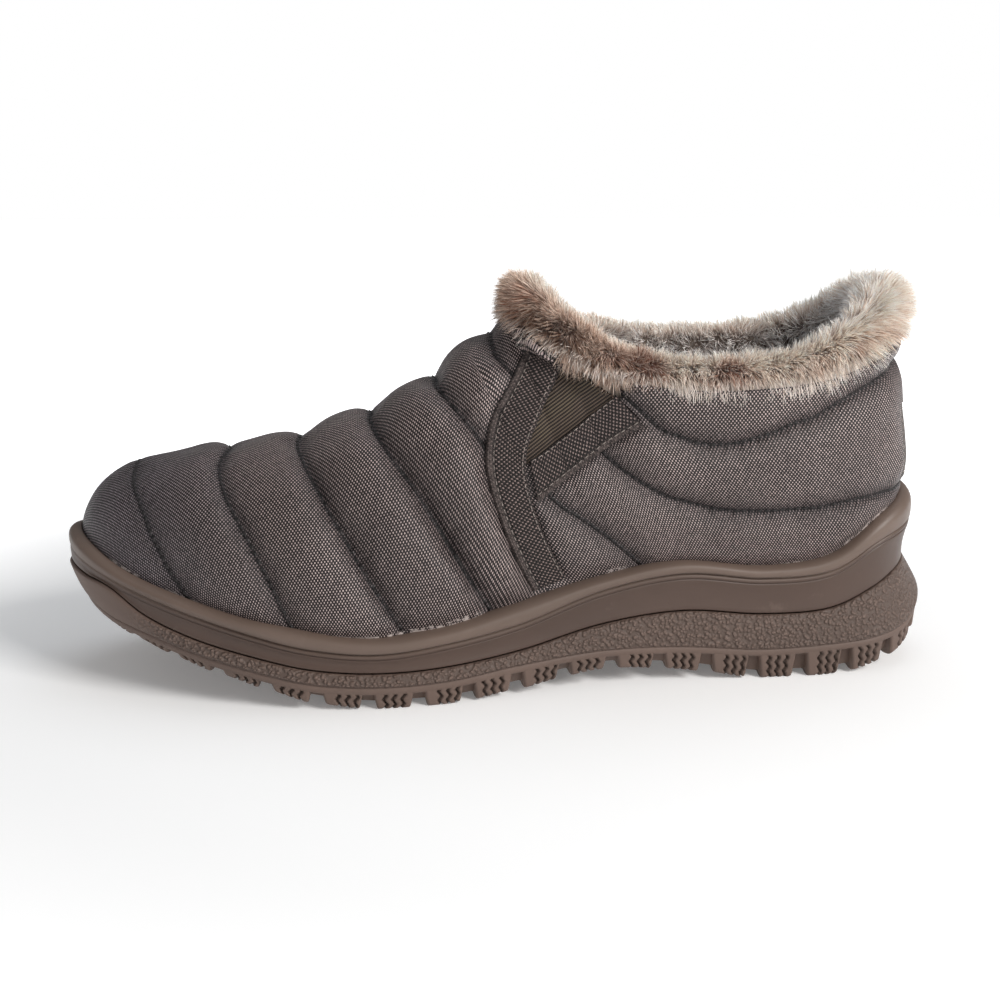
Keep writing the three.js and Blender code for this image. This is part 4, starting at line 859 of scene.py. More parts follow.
def seam_fields(P, N):
    """Nearest channel to each point: distance, side of it, place along it and whether it crosses the vamp."""
    pts, tan, arc, kind = [], [], [], []
    base = 0.0
    for name, run in RUNS.items():
        p = form(run[:, 0], run[:, 1])
        d = np.concatenate([[0], np.cumsum(np.linalg.norm(np.diff(p, axis=0), axis=1))])
        m = max(8, int(d[-1] / 0.7))
        t = np.linspace(0, d[-1], m)
        q = np.stack([np.interp(t, d, p[:, k]) for k in range(3)], 1)
        pts.append(q)
        tan.append(np.gradient(q, axis=0))
        arc.append(t + base)
        base += d[-1] + 50
        kind.append(np.full(m, 1.0 if name in CHANNELS else 0.0))
    pts, tan, arc, kind = np.concatenate(pts), unit(np.concatenate(tan)), np.concatenate(arc), np.concatenate(kind)
    tree = KDTree(len(pts))
    for i, q in enumerate(pts):
        tree.insert(q, i)
    tree.balance()
    flat = P.reshape(-1, 3)
    idx = np.array([tree.find(q)[1] for q in flat.tolist()])
    rel = flat - pts[idx]
    T = tan[idx]
    along = np.sum(rel * T, 1)
    side = np.sum(rel * np.cross(T, N.reshape(-1, 3)), 1)
    perp = rel - T * np.clip(along, -0.5, 0.5)[:, None]
    d = np.linalg.norm(perp, axis=1)
    shape = P.shape[:-1]
    return d.reshape(shape), np.sign(side).reshape(shape), (arc[idx] + along).reshape(shape), kind[idx].reshape(shape), rel[:, 0].reshape(shape)


def curve_distance(P, curves):
    pts = np.concatenate(curves)
    tree = KDTree(len(pts))
    for i, q in enumerate(pts):
        tree.insert(q, i)
    tree.balance()
    return np.array([tree.find(q)[2] for q in P.reshape(-1, 3).tolist()]).reshape(P.shape[:-1])


def pillow(d, reach, power):
    return (1 - (1 - np.clip(d / reach, 0, 1)) ** 2) ** power


def side_curve(rows, side, n=90):
    d = dense(rows, n)
    u, v = side_uv(d[:, 0], d[:, 1], side)
    return form(u, v)


BAND_CURVES = []
for _side in (1, -1):
    BAND_CURVES += [side_curve(FRONT_BAND_FORE, _side), side_curve(FRONT_BAND_AFT[4:], _side), side_curve(REAR_BAND_AFT, _side)]

NX = 296
NV = 116
_half = half_columns(NX)
COLS = np.concatenate([_half, TURN - _half[1:-1][::-1]])
NU = len(COLS)


def upper_fields():
    U = np.repeat(COLS[:, None], NV, 1)
    rim = at("rim", COLS)
    v0 = share_at(COLS, rim - 3.0)
    t = np.linspace(0, 1, NV) ** 0.95
    V = v0[:, None] + (1 - v0)[:, None] * t[None]
    P, N = form(U, V), form_normal(U, V)
    x, side = fold(U)
    d, sgn, arc, vamp, toeward = seam_fields(P, N)
    de = curve_distance(P, BAND_CURVES)
    dr = np.clip(P[..., 2] - rim[:, None], 0, None)
    s, z = P[..., 0], P[..., 2]
    under = inside(FRONT_POLY, s, z) | inside(REAR_POLY, s, z) | inside(GORE_POLY, s, z) | inside(JOIN_POLY, s, z)
    foot = at("s", x)
    tall = spl([0, 85, 100, 114, 127, 141, 162, 193, 222, 245, 285], [2.5, 2.6, 2.3, 2.1, 3.1, 4.2, 4.3, 3.6, 2.2, 1.0, 0.65], foot)
    tall = tall * (1 + 0.60 * np.clip((0.86 - N[..., 2]) / 0.25, 0, 1) * np.clip((275 - foot) / 30, 0, 1))
    # the cloth falls steeply to a channel from its toe side, and slowly from its heel side
    reach = np.where(vamp > 0.5, np.where(toeward > 0, 8.5, 15.0), 10.0)
    bend = np.where(vamp > 0.5, np.where(toeward > 0, 0.60, 0.78), 0.62)
    h = tall * pillow(d, reach, bend) * pillow(de, 7.0, 0.6) * (0.2 + 0.8 * pillow(dr, 11.0, 0.6))
    h = np.where(under, 0.0, h)
    free = (d > 1.6) & (de > 1.2) & ~under
    for _ in range(12):
        up = np.concatenate([h[:, 1:], h[:, -1:]], 1)
        dn = np.concatenate([h[:, :1], h[:, :-1]], 1)
        h = np.where(free, 0.5 * h + 0.125 * (np.roll(h, 1, 0) + np.roll(h, -1, 0) + up + dn), h)
    # puckers that run out from the stitched channels, and slow folds
    near = np.exp(-((d - 2.0) / 3.2) ** 2)
    h = h + np.where(under, 0, 0.30 * near * noise1(arc / 3.4, 3.0) * pillow(de, 4, 1))
    h = h + np.where(under, 0, (1.05 * noise3(P, 21.0, 1.0) + 0.32 * noise3(P, 8.0, 2.0)) * pillow(d, 6.0, 1) * pillow(de, 6, 1) * np.clip(dr / 8, 0, 1) * np.clip((270 - foot) / 40, 0.35, 1))
    # the label keeps the cloth flatter under it
    patch = (np.abs(np.mod(U + HALF, TURN) - HALF) < TAB_REACH + 0.45) & (z > TAB_LOW) & (z < TAB_HIGH)
    h = np.where(patch, 0.6 * h, h)
    # the crown's two halves are one line
    crown_row = x[:, -1] >= U_THROAT - 1e-9
    mirror = (NU - np.arange(NU)) % NU
    h[:, -1] = np.where(crown_row, 0.5 * (h[:, -1] + h[mirror, -1]), h[:, -1])
    Q = P + N * h[..., None]
    Q[:, -1] = np.where(crown_row[:, None], 0.5 * (Q[:, -1] + Q[mirror, -1]), Q[:, -1])
    return dict(U=U, V=V, P=P, N=N, Q=Q, d=d, sgn=sgn, arc=arc, vamp=vamp, de=de, dr=dr, under=under, h=h, x=x, side=side, foot=foot, crown=crown_row)


def weave_maps(F):
    """Two maps of the cloth in mm: the vamp unrolled from its crown, and the heel quarter unrolled from the sole."""
    P, U = F["P"], F["U"]
    _, _, ns, nw = outline(COLS)
    x, side = fold(COLS)
    flat = np.zeros(P.shape[:2] + (2,))
    # start of every rib on the crown, or on the collar
    k = np.linspace(U_THROAT, HALF, 600)
    c = np.stack([crown(1, k), crown(3, k) * KZ], 1)
    arc = np.concatenate([[0], np.cumsum(np.hypot(*np.diff(c, axis=0).T))])
    flat[:, -1, 0] = np.interp(x, k, arc)
    flat[:, -1, 1] = np.where(x >= U_THROAT, crown(2, np.clip(x, U_THROAT, HALF)), 0)
    low = np.linspace(U_THROAT, 0, 800)
    for sd in (1, -1):
        kk = low if sd > 0 else 2 * U_THROAT - low
        p = np.stack([collar("s", kk), collar("w", kk), collar("z", kk) * KZ], 1)
        dp = np.diff(p, axis=0)
        nn = np.stack([0 * dp[:, 0], np.full(len(dp), float(sd))], 1)
        pn = dp[:, 0] * nn[:, 0] + dp[:, 1] * nn[:, 1]
        e = -pn + np.sqrt(pn ** 2 + dp[:, 2] ** 2)
        step = dp[:, :2] + nn * e[:, None]
        run = np.concatenate([[[0, 0]], np.cumsum(step, 0)])
        m = (side == sd) & (x < U_THROAT)
        for q in (0, 1):
            flat[m, -1, q] = np.interp(-x[m], -low, run[:, q])
    for j in range(P.shape[1] - 2, -1, -1):
        dp = P[:, j] - P[:, j + 1]
        pn = dp[:, 0] * ns + dp[:, 1] * nw
        e = -pn + np.sqrt(pn ** 2 + dp[:, 2] ** 2)
        flat[:, j] = flat[:, j + 1] + dp[:, :2] + np.stack([ns, nw], 1) * e[:, None]
    # quarter
    mid = form(COLS, np.full(NU, 0.5))
    ring_arc = np.concatenate([[0], np.cumsum(np.linalg.norm(np.diff(mid, axis=0), axis=1))])
    total = ring_arc[-1] + np.linalg.norm(mid[0] - mid[-1])
    signed = np.where(side > 0, ring_arc, ring_arc - total)
    rise = np.concatenate([np.zeros((NU, 1)), np.cumsum(np.linalg.norm(np.diff(P, axis=1), axis=2), 1)], 1)
    # rows of the cloth keep level with the collar's own fall
    q = np.stack([np.repeat(signed[:, None], P.shape[1], 1), rise + (F["P"][:, :1, 2] - 40)], -1)
    return flat, q


def make_upper():
    F = upper_fields()
    flat, quarter = weave_maps(F)
    n, m = NU, NV
    index = np.arange(n * m).reshape(n, m)
    mirror = (n - np.arange(n)) % n
    x, side = fold(COLS)
    dup = (x >= U_THROAT - 1e-9) & (side < 0)
    index[dup, -1] = index[mirror[dup], -1]
    i = np.arange(n)
    k = (i + 1) % n
    j = np.arange(m - 1)
    quads = np.stack([index[i][:, j], index[k][:, j], index[k][:, j + 1], index[i][:, j + 1]], -1).reshape(-1, 4)
    corner_i = np.stack([np.repeat(i[:, None], m - 1, 1), np.repeat(k[:, None], m - 1, 1), np.repeat(k[:, None], m - 1, 1), np.repeat(i[:, None], m - 1, 1)], -1).reshape(-1, 4)
    corner_j = np.stack([np.repeat(j[None], n, 0), np.repeat(j[None], n, 0), np.repeat(j[None] + 1, n, 0), np.repeat(j[None] + 1, n, 0)], -1).reshape(-1, 4)
    P = F["P"]
    centre = P[corner_i, corner_j].mean(1)
    keep = ~inside(GORE_POLY, centre[:, 0], centre[:, 2])
    # degenerate quads where the two halves meet at the toe's pole
    bad = np.array([len(set(q)) < 4 for q in quads.tolist()])
    band_mid = np.interp(centre[:, 2], AFT_D[::-1, 1], AFT_D[::-1, 0] + 6.0)
    vamp = centre[:, 0] > band_mid
    uv = np.where(vamp[:, None, None], flat[corner_i, corner_j], quarter[corner_i, corner_j])
    sel = keep & ~bad
    pts = F["Q"].reshape(-1, 3).copy()
    vals = {"seam": (F["d"] * F["sgn"]).ravel(), "seamd": F["d"].ravel(), "along": F["arc"].ravel(), "rimd": (P[..., 2] - at("rim", COLS)[:, None]).ravel(),
            "bandd": F["de"].ravel(), "foot": F["foot"].ravel(), "height": F["h"].ravel(), "crownd": (P[..., 1]).ravel(), "stn": P[..., 0].ravel(), "zed": P[..., 2].ravel()}
    q, quv = quads[sel], uv[sel]
    # turned-in edges, so that the cloth has a thickness where it ends
    edges = np.concatenate([q[:, [0, 1]], q[:, [1, 2]], q[:, [2, 3]], q[:, [3, 0]]])
    key = np.sort(edges, 1)
    code = key[:, 0].astype(np.int64) * (n * m) + key[:, 1]
    uniq, inv, cnt = np.unique(code, return_inverse=True, return_counts=True)
    border = edges[cnt[inv] == 1]
    euv = np.concatenate([quv[:, [0, 1]], quv[:, [1, 2]], quv[:, [2, 3]], quv[:, [3, 0]]])[cnt[inv] == 1]
    used = np.unique(border)
    new = {v: n * m + t for t, v in enumerate(used.tolist())}
    inner = (F["Q"] - F["N"] * 1.6).reshape(-1, 3)[used]
    pts = np.concatenate([pts, inner])
    for key_ in vals:
        vals[key_] = np.concatenate([vals[key_], vals[key_][used]])
    skirt = np.array([[b, a, new[a], new[b]] for a, b in border.tolist()])
    suv = np.stack([euv[:, 1], euv[:, 0], euv[:, 0], euv[:, 1]], 1)
    quads_all = np.concatenate([q, skirt])
    uv_all = np.concatenate([quv, suv])
    # drop points that no face uses
    used = np.unique(quads_all)
    remap = np.full(len(pts), -1)
    remap[used] = np.arange(len(used))
    vals = {k_: v_[used] for k_, v_ in vals.items()}
    o = mesh_object("upper_nylon", to_m(pts[used]), remap[quads_all], uvs={"Weave": uv_all.reshape(-1, 2) * 0.01}, values=vals)
    return o, F


upper_obj, UF = make_upper()
dress(upper_obj, "nylon", "quilted_nylon", "upper")

# ---------------------------------------------------------------- sole
def run_columns(n):
    """n places round the sole, evenly spaced along its outline."""
    u = np.linspace(0, TURN, 6001)
    p = edge_point(u, 0.0, 0.0)
    a = np.concatenate([[0], np.cumsum(np.linalg.norm(np.diff(p, axis=0), axis=1))])
    return np.interp(np.arange(n) / n * a[-1], a, u), a, u


SN = 900
SU, _arc_a, _arc_u = run_columns(SN)
PERIMETER = _arc_a[-1]


def perimeter_at(d):
    return np.interp(np.mod(d, PERIMETER), _arc_a, _arc_u)


def ring_mesh(name, rows, tube=True, values=None):
    """Rows of points round the sole (row, column, 3), joined; tube joins the last row to the first."""
    rows = np.stack(rows)
    m, n = rows.shape[:2]
    i = np.arange(n)
    k = (i + 1) % n
    j = np.arange(m if tube else m - 1)
    jj = (j + 1) % m
    quads = np.stack([j[:, None] * n + i[None], j[:, None] * n + k[None], jj[:, None] * n + k[None], jj[:, None] * n + i[None]], -1).reshape(-1, 4)
    return rows, quads


def cup_point(u, z, gap=0.4):
    v = share_at(u, z)
    p, nn = form(u, v), form_normal(u, v)
    l = np.hypot(nn[:, 0], nn[:, 1])
    return np.stack([p[:, 0] + nn[:, 0] / l * gap, p[:, 1] + nn[:, 1] / l * gap, z + 0 * p[:, 2]], -1)


def make_midsole():
    u = SU
    g = GAP
    A = lambda n: at(n, u)
    band, rim = A("band"), A("rim")
    # the line under the rim runs closer to it at the toe
    bead = A("bead") + 0.42 * (rim - A("bead")) * np.clip((A("s") - 215) / 55, 0, 1) ** 1.2
    k = np.clip((bead - band) / 3.2, 0.06, 1.0)
    toe = np.clip((A("s") - 225) / 45, 0, 1)
    bead_in = A("beadIn") * (1 - toe) + (A("bulgeIn") + 1.15) * toe
    fine = 1 - 0.65 * toe
    o_s, o_w, ns, nw = outline(u)
    cup = cup_point(u, rim)
    in_top = (o_s - cup[:, 0]) * ns + (o_w - cup[:, 1]) * nw
    wave = 0.10 * noise1(np.arange(SN) / SN * PERIMETER / 9.0, 5.0)
    rows, lower = [], []
    def E(inset, z):
        rows.append(edge_point(u, inset, z))
        # rows under the bead, for the painted shade there
        lower.append(np.clip((bead - 0.2 - z) / 0.8, 0, 1))
    seat = band - 4.0
    keep_in = 1.0 * toe
    E(A("bandIn") + A("lip") + 0.6 + g, seat + g)
    E(A("bandIn") + A("lip") + g, band - 0.2)
    E(A("bandIn") + 0.75 * k, band + 0.22 * k)
    E(A("bandIn") + 0.28 * k, band + 0.42 * k)
    E(A("bandIn") + 0.10 * k, band + 0.75 * k)
    for t in np.linspace(0.12, 0.97, 9):
        hollow = 0.55 * 4 * t * (1 - t) * k * (1 - toe)
        E((1 - t) * (A("bandIn") + 0.08) + t * (bead_in + 0.20) + hollow, (1 - t) * (band + 0.75 * k) + t * (bead - 2.05 * k))
    E(bead_in + 0.24 * fine, bead - 1.98 * k)
    E(bead_in + 0.70 * fine, bead - 1.78 * k)
    E(bead_in + 0.20 * fine, bead - 1.56 * k)
    E(bead_in + 0.06, bead - 1.25 * k)
    E(bead_in + 0.08, bead - 0.72 * k)
    E(bead_in + 0.40 * fine, bead - 0.34 * k)
    E(bead_in + 1.15 * fine, bead - 0.05 * k)
    E(A("bulgeIn") + 1.05 * fine + keep_in, bead + 0.18)
    E(A("bulgeIn") + 0.42 + keep_in, bead + 0.42)
    E(A("bulgeIn") + 0.15 + keep_in, bead + 0.80)
    zm = bead + 0.50 * (rim - bead)
    for t in (0.35, 0.7, 1.0):
        E(A("bulgeIn") + keep_in + 0.12 * (1 - t) - 0.05 * math.sin(math.pi * t), bead + 0.80 + (zm - bead - 0.80) * t)
    for t in np.linspace(0.16, 1.0, 8):
        a = t * math.pi / 2
        inset = A("bulgeIn") + keep_in + (in_top - 0.45 - A("bulgeIn") - keep_in) * (1 - math.cos(a)) ** 1.0
        E(inset, zm + (rim - zm) * math.sin(a) ** 1.0 + wave * t)
    E(in_top - 0.12, rim - 0.10 + wave)
    E(in_top + 0.02, rim - 0.45 + wave)
    rows.append(cup_point(u, rim - 1.6))
    rows.append(cup_point(u, 0.5 * (rim + A("bed"))))
    rows.append(cup_point(u, A("bed")))
    lower += [np.zeros(len(u))] * (len(rows) - len(lower))
    pts, quads = ring_mesh("midsole", rows)
    o = mesh_object("midsole_band", to_m(pts.reshape(-1, 3)), quads[:, ::-1], values={"lower": np.concatenate(lower)})
    dress(o, "midsole", "midsole_rubber", "midsole")
    return o


def make_outsole():
    u = SU
    A = lambda n: at(n, u)
    band, edge = A("band"), A("edge")
    s = A("s")
    rows, peb = [], []
    def E(inset, z, p=0.0):
        rows.append(edge_point(u, inset, z)); peb.append(np.zeros(len(u)) + p)
    smooth_toe = np.clip((262.0 - s) / 14.0, 0, 1)          # the bumper at the toe is smooth
    zw = edge + 0.45 * (band - edge) - 2.0 * np.clip(A("bandIn") - 3, 0, 3)
    line = edge + 2.3                                       # fine line over the lugs
    lug = A("lug")
    deep = np.minimum(lug + 1.6, edge - 0.6)
    E(10.5, edge + 0.6)
    E(9.8, deep + 0.2)
    E(A("edgeIn") + 4.2, deep)
    E(A("edgeIn") + 3.2, deep + 0.5)
    E(A("edgeIn") + 2.3, edge - 0.25)
    E(A("edgeIn") + 1.2, edge - 0.05)
    E(A("edgeIn") + 0.55, edge + 0.0)
    E(A("edgeIn") + 0.12, edge + 0.45)
    E(A("edgeIn") * 0.8 + A("wallIn") * 0.2 + 0.25, edge + 1.2)
    E(A("edgeIn") * 0.7 + A("wallIn") * 0.3 + 0.25, line - 0.25)
    E(A("edgeIn") * 0.68 + A("wallIn") * 0.32 + 0.55, line - 0.02)
    E(A("edgeIn") * 0.66 + A("wallIn") * 0.34 + 0.10, line + 0.22)
    E(A("edgeIn") * 0.62 + A("wallIn") * 0.38 - 0.08, line + 0.60, smooth_toe)
    top_in, top_z = A("bandIn") - 0.5, band - 0.9
    for t in np.linspace(0.1, 1.0, 11):
        z0 = line + 0.60
        # a quadratic from the line over the widest place to the top
        b_in, b_z = A("wallIn") - 0.3, np.maximum(zw, z0 + 0.2)
        q0_in = A("edgeIn") * 0.62 + A("wallIn") * 0.38 - 0.08
        inset = (1 - t) ** 2 * q0_in + 2 * t * (1 - t) * b_in + t * t * top_in
        z = (1 - t) ** 2 * z0 + 2 * t * (1 - t) * b_z + t * t * top_z
        E(inset, z, smooth_toe)
    E(A("bandIn") - 0.38, band - 0.55, smooth_toe)
    E(A("bandIn") - 0.02, band - 0.22, 0.3 * smooth_toe)
    E(A("bandIn") + 0.45, band - 0.10)
    E(A("bandIn") + A("lip"), band - 0.5)
    E(A("bandIn") + A("lip") + 0.6, band - 4.0)
    pts, quads = ring_mesh("outsole", rows, tube=False)
    m, n = pts.shape[:2]
    P = [pts.reshape(-1, 3)]
    Q = [quads]
    values = [np.stack(peb).reshape(-1)]
    # the bottom, across from side to side, and a plate on top, both as grids
    base = m * n
    def plate(row, height, flip):
        nonlocal base
        ring = rows[row]
        h = n // 2
        across = 8
        f = np.linspace(0, 1, across + 1)
        a, b = ring[np.arange(1, h)], ring[(n - np.arange(1, h)) % n]
        g = a[:, None] * (1 - f)[None, :, None] + b[:, None] * f[None, :, None]
        g[..., 2] += (height * np.sin(np.pi * f) ** 0.5)[None]
        q = grid_quads(h - 1, across + 1)
        P.append(g.reshape(-1, 3)); values.append(np.zeros(g.shape[0] * g.shape[1]))
        Q.append((q if flip else q[:, ::-1]) + base)
        base += g.shape[0] * g.shape[1]
    plate(0, 0.6, True)
    plate(m - 1, 0.0, False)
    P, Q, values = np.concatenate(P), np.concatenate(Q), np.concatenate(values)
    o = mesh_object("outsole_body", to_m(P), Q[:, ::-1], values={"pebble": values, "groove": 0 * values, "lower": 0 * values})
    dress(o, "outsole", "outsole_rubber", "outsole")
    return o


LUG_COUNT, LUG_GAP, LUG_PHASE, LUG_DEPTH_IN = 42, 3.2, 0.42, 12.0


def make_lugs():
    """Edge lugs with zigzag channels cut into their outer faces, and bent bars in the middle of the tread."""
    pitch = PERIMETER / LUG_COUNT
    P, Q, M, off = [], [], [], 0
    na, nb = ((41, 15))
    for i in range(LUG_COUNT):
        a0 = (i + LUG_PHASE) * pitch
        width = pitch - LUG_GAP
        a = np.linspace(0, 1, na)[:, None] + 0 * np.linspace(0, 1, nb)[None]
        b = np.linspace(0, 1, nb)[None] + 0 * a
        um = perimeter_at(a0 + a * width)
        foot, head = at("lug", um), at("edge", um) + 0.5
        # the lugs get shorter round the toe
        foot = foot + np.minimum(2.6 * np.clip((at("s", um) - 205) / 60, 0, 1), 0.5 * (head - foot))
        z = foot + (head - foot) * b
        shrink = 1.1 * (a - 0.5) * 2 * (1 - b)
        u = perimeter_at(a0 + a * width - shrink)
        tall = np.maximum(head - foot, 1.0)
        # zigzag channels, 3 on a lug, one end left plain
        start = 0.14 if i % 2 else 0.26
        x = a * width
        zz = np.abs(np.mod((b * tall) / 3.0 + 0.25 * (i % 3), 1.0) - 0.5) * 2.0 - 0.5
        cut = np.zeros_like(x)
        for c in range(3):
            cx = width * start + c * 2.95
            if cx > width - 1.2:
                continue
            d = np.abs(x - cx - 1.25 * zz)
            cut = np.maximum(cut, np.exp(-(d / 0.50) ** 4))
        rnd = 0.7 * (np.clip(1 - a * width / 0.9, 0, 1) ** 2 + np.clip(1 - (1 - a) * width / 0.9, 0, 1) ** 2 + np.clip(1 - b * tall / 0.9, 0, 1) ** 2)
        inset = at("edgeIn", u) + 0.15 + (1 - b) * 0.55 + 0.6 * np.clip(at("edgeIn", u) - 0.6, 0, 4) * (1 - b) + 1.3 * cut * np.clip((1 - b) * 7, 0, 1) + rnd
        face = edge_point(u, inset, z)
        # underside and back: rows that run in from the face's lower edge
        deep = []
        for f in np.linspace(0.0, 1.0, 6)[1:]:
            w_in = inset[:, 0] + (LUG_DEPTH_IN - inset[:, 0]) * f
            groove = 0.8 * np.exp(-(((f - 0.45) * 9.0) / 1.2) ** 2)
            deep.append(edge_point(u[:, 0], w_in, foot[:, 0] + 0 * w_in + groove))
        back = edge_point(u[:, -1], LUG_DEPTH_IN - 0.8, at("edge", um[:, -1]) + 1.6)
        cols = [back] + deep[::-1] + [face[:, k] for k in range(nb)]
        G = np.stack(cols, 1)
        n, m = G.shape[:2]
        q = grid_quads(n, m)
        mark = np.zeros((n, m))
        # the channels' cut, also for the painted shade in them
        mark[:, -nb:] = cut * np.clip((1 - b) * 7, 0, 1)
        P.append(G.reshape(-1, 3)); Q.append(q + off); M.append(mark.ravel())
        # end faces, as fans of quads between back and front halves
        for e in (0, n - 1):
            idx = e * m + np.arange(m) + off
            lo, hi = 0, m - 1
            while hi - lo > 2:
                f = [idx[lo], idx[lo + 1], idx[hi - 1], idx[hi]]
                Q.append(np.array([f if e == 0 else f[::-1]]))
                lo += 1; hi -= 1
        off += n * m
    P = np.concatenate(P)
    Q = np.concatenate(Q)
    o = mesh_object("outsole_lugs", to_m(P), Q, values={"pebble": np.zeros(len(P)), "groove": np.concatenate(M)})
    dress(o, "outsole", "outsole_rubber")
    # bars
    BARS = [[52, 16, 10, 4], [70, 16, 10, 4], [156, 25, 10, 5], [172, 28, 10, 5], [188, 30, 10, 5], [204, 29, 10, 5], [220, 27, 10, 5], [236, 23, 10, 5], [251, 16, 8, 4]]
    P, Q, off = [], [], 0
    for s, half, length, bend in BARS:
        na, nb = 33, 9
        f = np.linspace(-1, 1, na)[:, None] + 0 * np.linspace(0, 1, nb)[None]
        t = np.linspace(0, 1, nb)[None] + 0 * f
        q = s + bend * (1 - np.abs(f)) + (t - 0.5) * length
        uu = run_at(q)
        w = (at("w", uu) + at("w", TURN - uu)) / 2 + 0.8 * half * f
        zl = at("lug", uu)
        zig = np.abs(np.mod(f * half * 0.8 / 4.0 + 0.5, 1.0) - 0.5) * 2
        cut = np.exp(-(((t - 0.5) * length - 1.2 * (zig - 0.5) * 2) / 0.6) ** 2)
        edge = np.clip(1 - (0.5 - np.abs(t - 0.5)) * length / 0.6, 0, 1) ** 2 * 0.5 + np.clip(1 - (1 - np.abs(f)) * half * 0.8 / 0.7, 0, 1) ** 2 * 0.5
        z = zl + 0.9 * cut * np.clip((1 - np.abs(f)) * 8, 0, 1) + edge
        top = at("edge", uu) + 1.2
        G = np.stack([q, w, z], -1)
        # sides go up into the sole
        rim_idx = [(0, j) for j in range(nb)] + [(k, nb - 1) for k in range(1, na)] + [(na - 1, j) for j in range(nb - 2, -1, -1)] + [(k, 0) for k in range(na - 2, 0, -1)]
        up = np.array([[q[a, b], w[a, b], top[a, b]] for a, b in rim_idx])
        gq = grid_quads(na, nb)
        base = na * nb
        side_q = []
        L = len(rim_idx)
        for k in range(L):
            a, b = rim_idx[k], rim_idx[(k + 1) % L]
            side_q.append([a[0] * nb + a[1], b[0] * nb + b[1], base + (k + 1) % L, base + k])
        P.append(np.concatenate([G.reshape(-1, 3), up]))
        Q.append(np.concatenate([gq[:, ::-1], np.array(side_q)]) + off)
        off += base + L
    o = mesh_object("outsole_bars", to_m(np.concatenate(P)), np.concatenate(Q), values={"pebble": np.zeros(off), "groove": np.zeros(off)})
    dress(o, "outsole", "outsole_rubber")


make_midsole()
make_outsole()
make_lugs()

# ---------------------------------------------------------------- webbing, elastic, label patch
def side_surface(s, z, side):
    u, v = side_uv(s, z, side)
    return form(u, v), form_normal(u, v)


def sheet_mesh(name, fore, aft, along, across, side, profile, low, extra=None, uvs=None):
    """Closed strip between two edge curves; profile gives the height of its top over the width."""
    f = np.linspace(0, 1, across + 1)
    a, b = dense(fore, along + 1), dense(aft, along + 1)
    G = a[:, None] * (1 - f)[None, :, None] + b[:, None] * f[None, :, None]
    P, N = side_surface(G[..., 0], G[..., 1], side)
    width = np.linalg.norm(np.diff(P, axis=1), axis=2).sum(1)
    length = np.concatenate([[0], np.cumsum(np.linalg.norm(np.diff(P[:, (across + 1) // 2], axis=0), axis=1))])
    dist = f[None] * width[:, None]
    run = length[:, None] + 0 * dist
    top = P + N * profile(dist, width[:, None], run, P)[..., None]
    bottom = P + N * low
    n, m = along + 1, across + 1
    q = grid_quads(n, m)
    quads = [q, q[:, ::-1] + n * m]
    border = [(i, 0) for i in range(n)] + [(n - 1, j) for j in range(1, m)] + [(i, m - 1) for i in range(n - 2, -1, -1)] + [(0, j) for j in range(m - 2, 0, -1)]
    idx = np.array([i * m + j for i, j in border])
    nxt = np.roll(idx, -1)
    quads.append(np.stack([nxt, idx, idx + n * m, nxt + n * m], 1))
    quads = np.concatenate(quads)
    if side < 0:
        quads = quads[:, ::-1]
    uv = np.stack([dist, run], -1).reshape(-1, 2) * 0.01
    values = {k: np.concatenate([v.ravel(), v.ravel()]) for k, v in (extra(dist, width[:, None], run) if extra else {}).items()}
    o = mesh_object(name, to_m(np.concatenate([top.reshape(-1, 3), bottom.reshape(-1, 3)])), quads, uv=np.concatenate([uv, uv]), values=values)
    return o, top, N, dist, run


def soft_edge(d, w, r=0.7):
    e = np.minimum(d, w - d)
    return 1 - (1 - np.clip(e / r, 0, 1)) ** 2


def band_profile(strip_fore, strip_aft, height=1.35):
    def profile(d, w, run, P):
        h = height * (0.45 + 0.55 * soft_edge(d, w))
        for on, e in ((strip_fore, d), (strip_aft, w - d)):
            if on:
                h = h + (0.10 + 0.20 * noise1(run / 1.5, 8.0) + 0.16 * noise3(P, 0.8, 3.0)) * np.exp(-((e - 1.1) / 0.95) ** 4) - 0.5 * np.exp(-((e - 2.45) / 0.35) ** 2)
        h = h + 0.22 * noise1(run / 2.4, 2.0) * np.exp(-np.minimum(d, w - d) / 1.6)
        h = h + 0.22 * noise3(P, 9.0, 6.0)
        return h
    return profile


def band_values(strip_fore, strip_aft):
    def values(d, w, run):
        # line: the stitched groove and the plain edge, where shade is painted
        s = np.zeros_like(d)
        line = np.zeros_like(d)
        for on, e in ((strip_fore, d), (strip_aft, w - d)):
            if on:
                s = np.maximum(s, np.clip(1 - np.abs(e - 1.0) / 1.3, 0, 1) > 0)
                line = np.maximum(line, np.exp(-((e - 2.45) / 0.30) ** 2))
            else:
                line = np.maximum(line, 0.5 * np.exp(-(e / 0.5) ** 2))
        return {"strip": s.astype(float), "line": line}
    return values


STITCH_LINES = []
for _word, _side in (("lateral", 1), ("medial", -1)):
    o, top, N, dist, run = sheet_mesh("webbing_front_" + _word, FRONT_BAND_FORE, FRONT_BAND_AFT, 230, 24, _side,
                                      band_profile(True, False), 0.15, band_values(True, False))
    dress(o, "webbing", "webbing", "webbing_front_" + _word)
    STITCH_LINES.append((top[:, 5], N[:, 5], 0.0))
    STITCH_LINES.append((top[:, 22], N[:, 22], 0.0))
    o, top, N, dist, run = sheet_mesh("webbing_rear_" + _word, REAR_BAND_FORE, REAR_BAND_AFT, 110, 24, _side,
                                      band_profile(False, True, 1.2), 0.12, band_values(False, True))
    dress(o, "webbing", "webbing", "webbing_rear_" + _word)
    STITCH_LINES.append((top[:, 20], N[:, 20], 0.0))
    STITCH_LINES.append((top[:, 1], N[:, 1], 0.0))


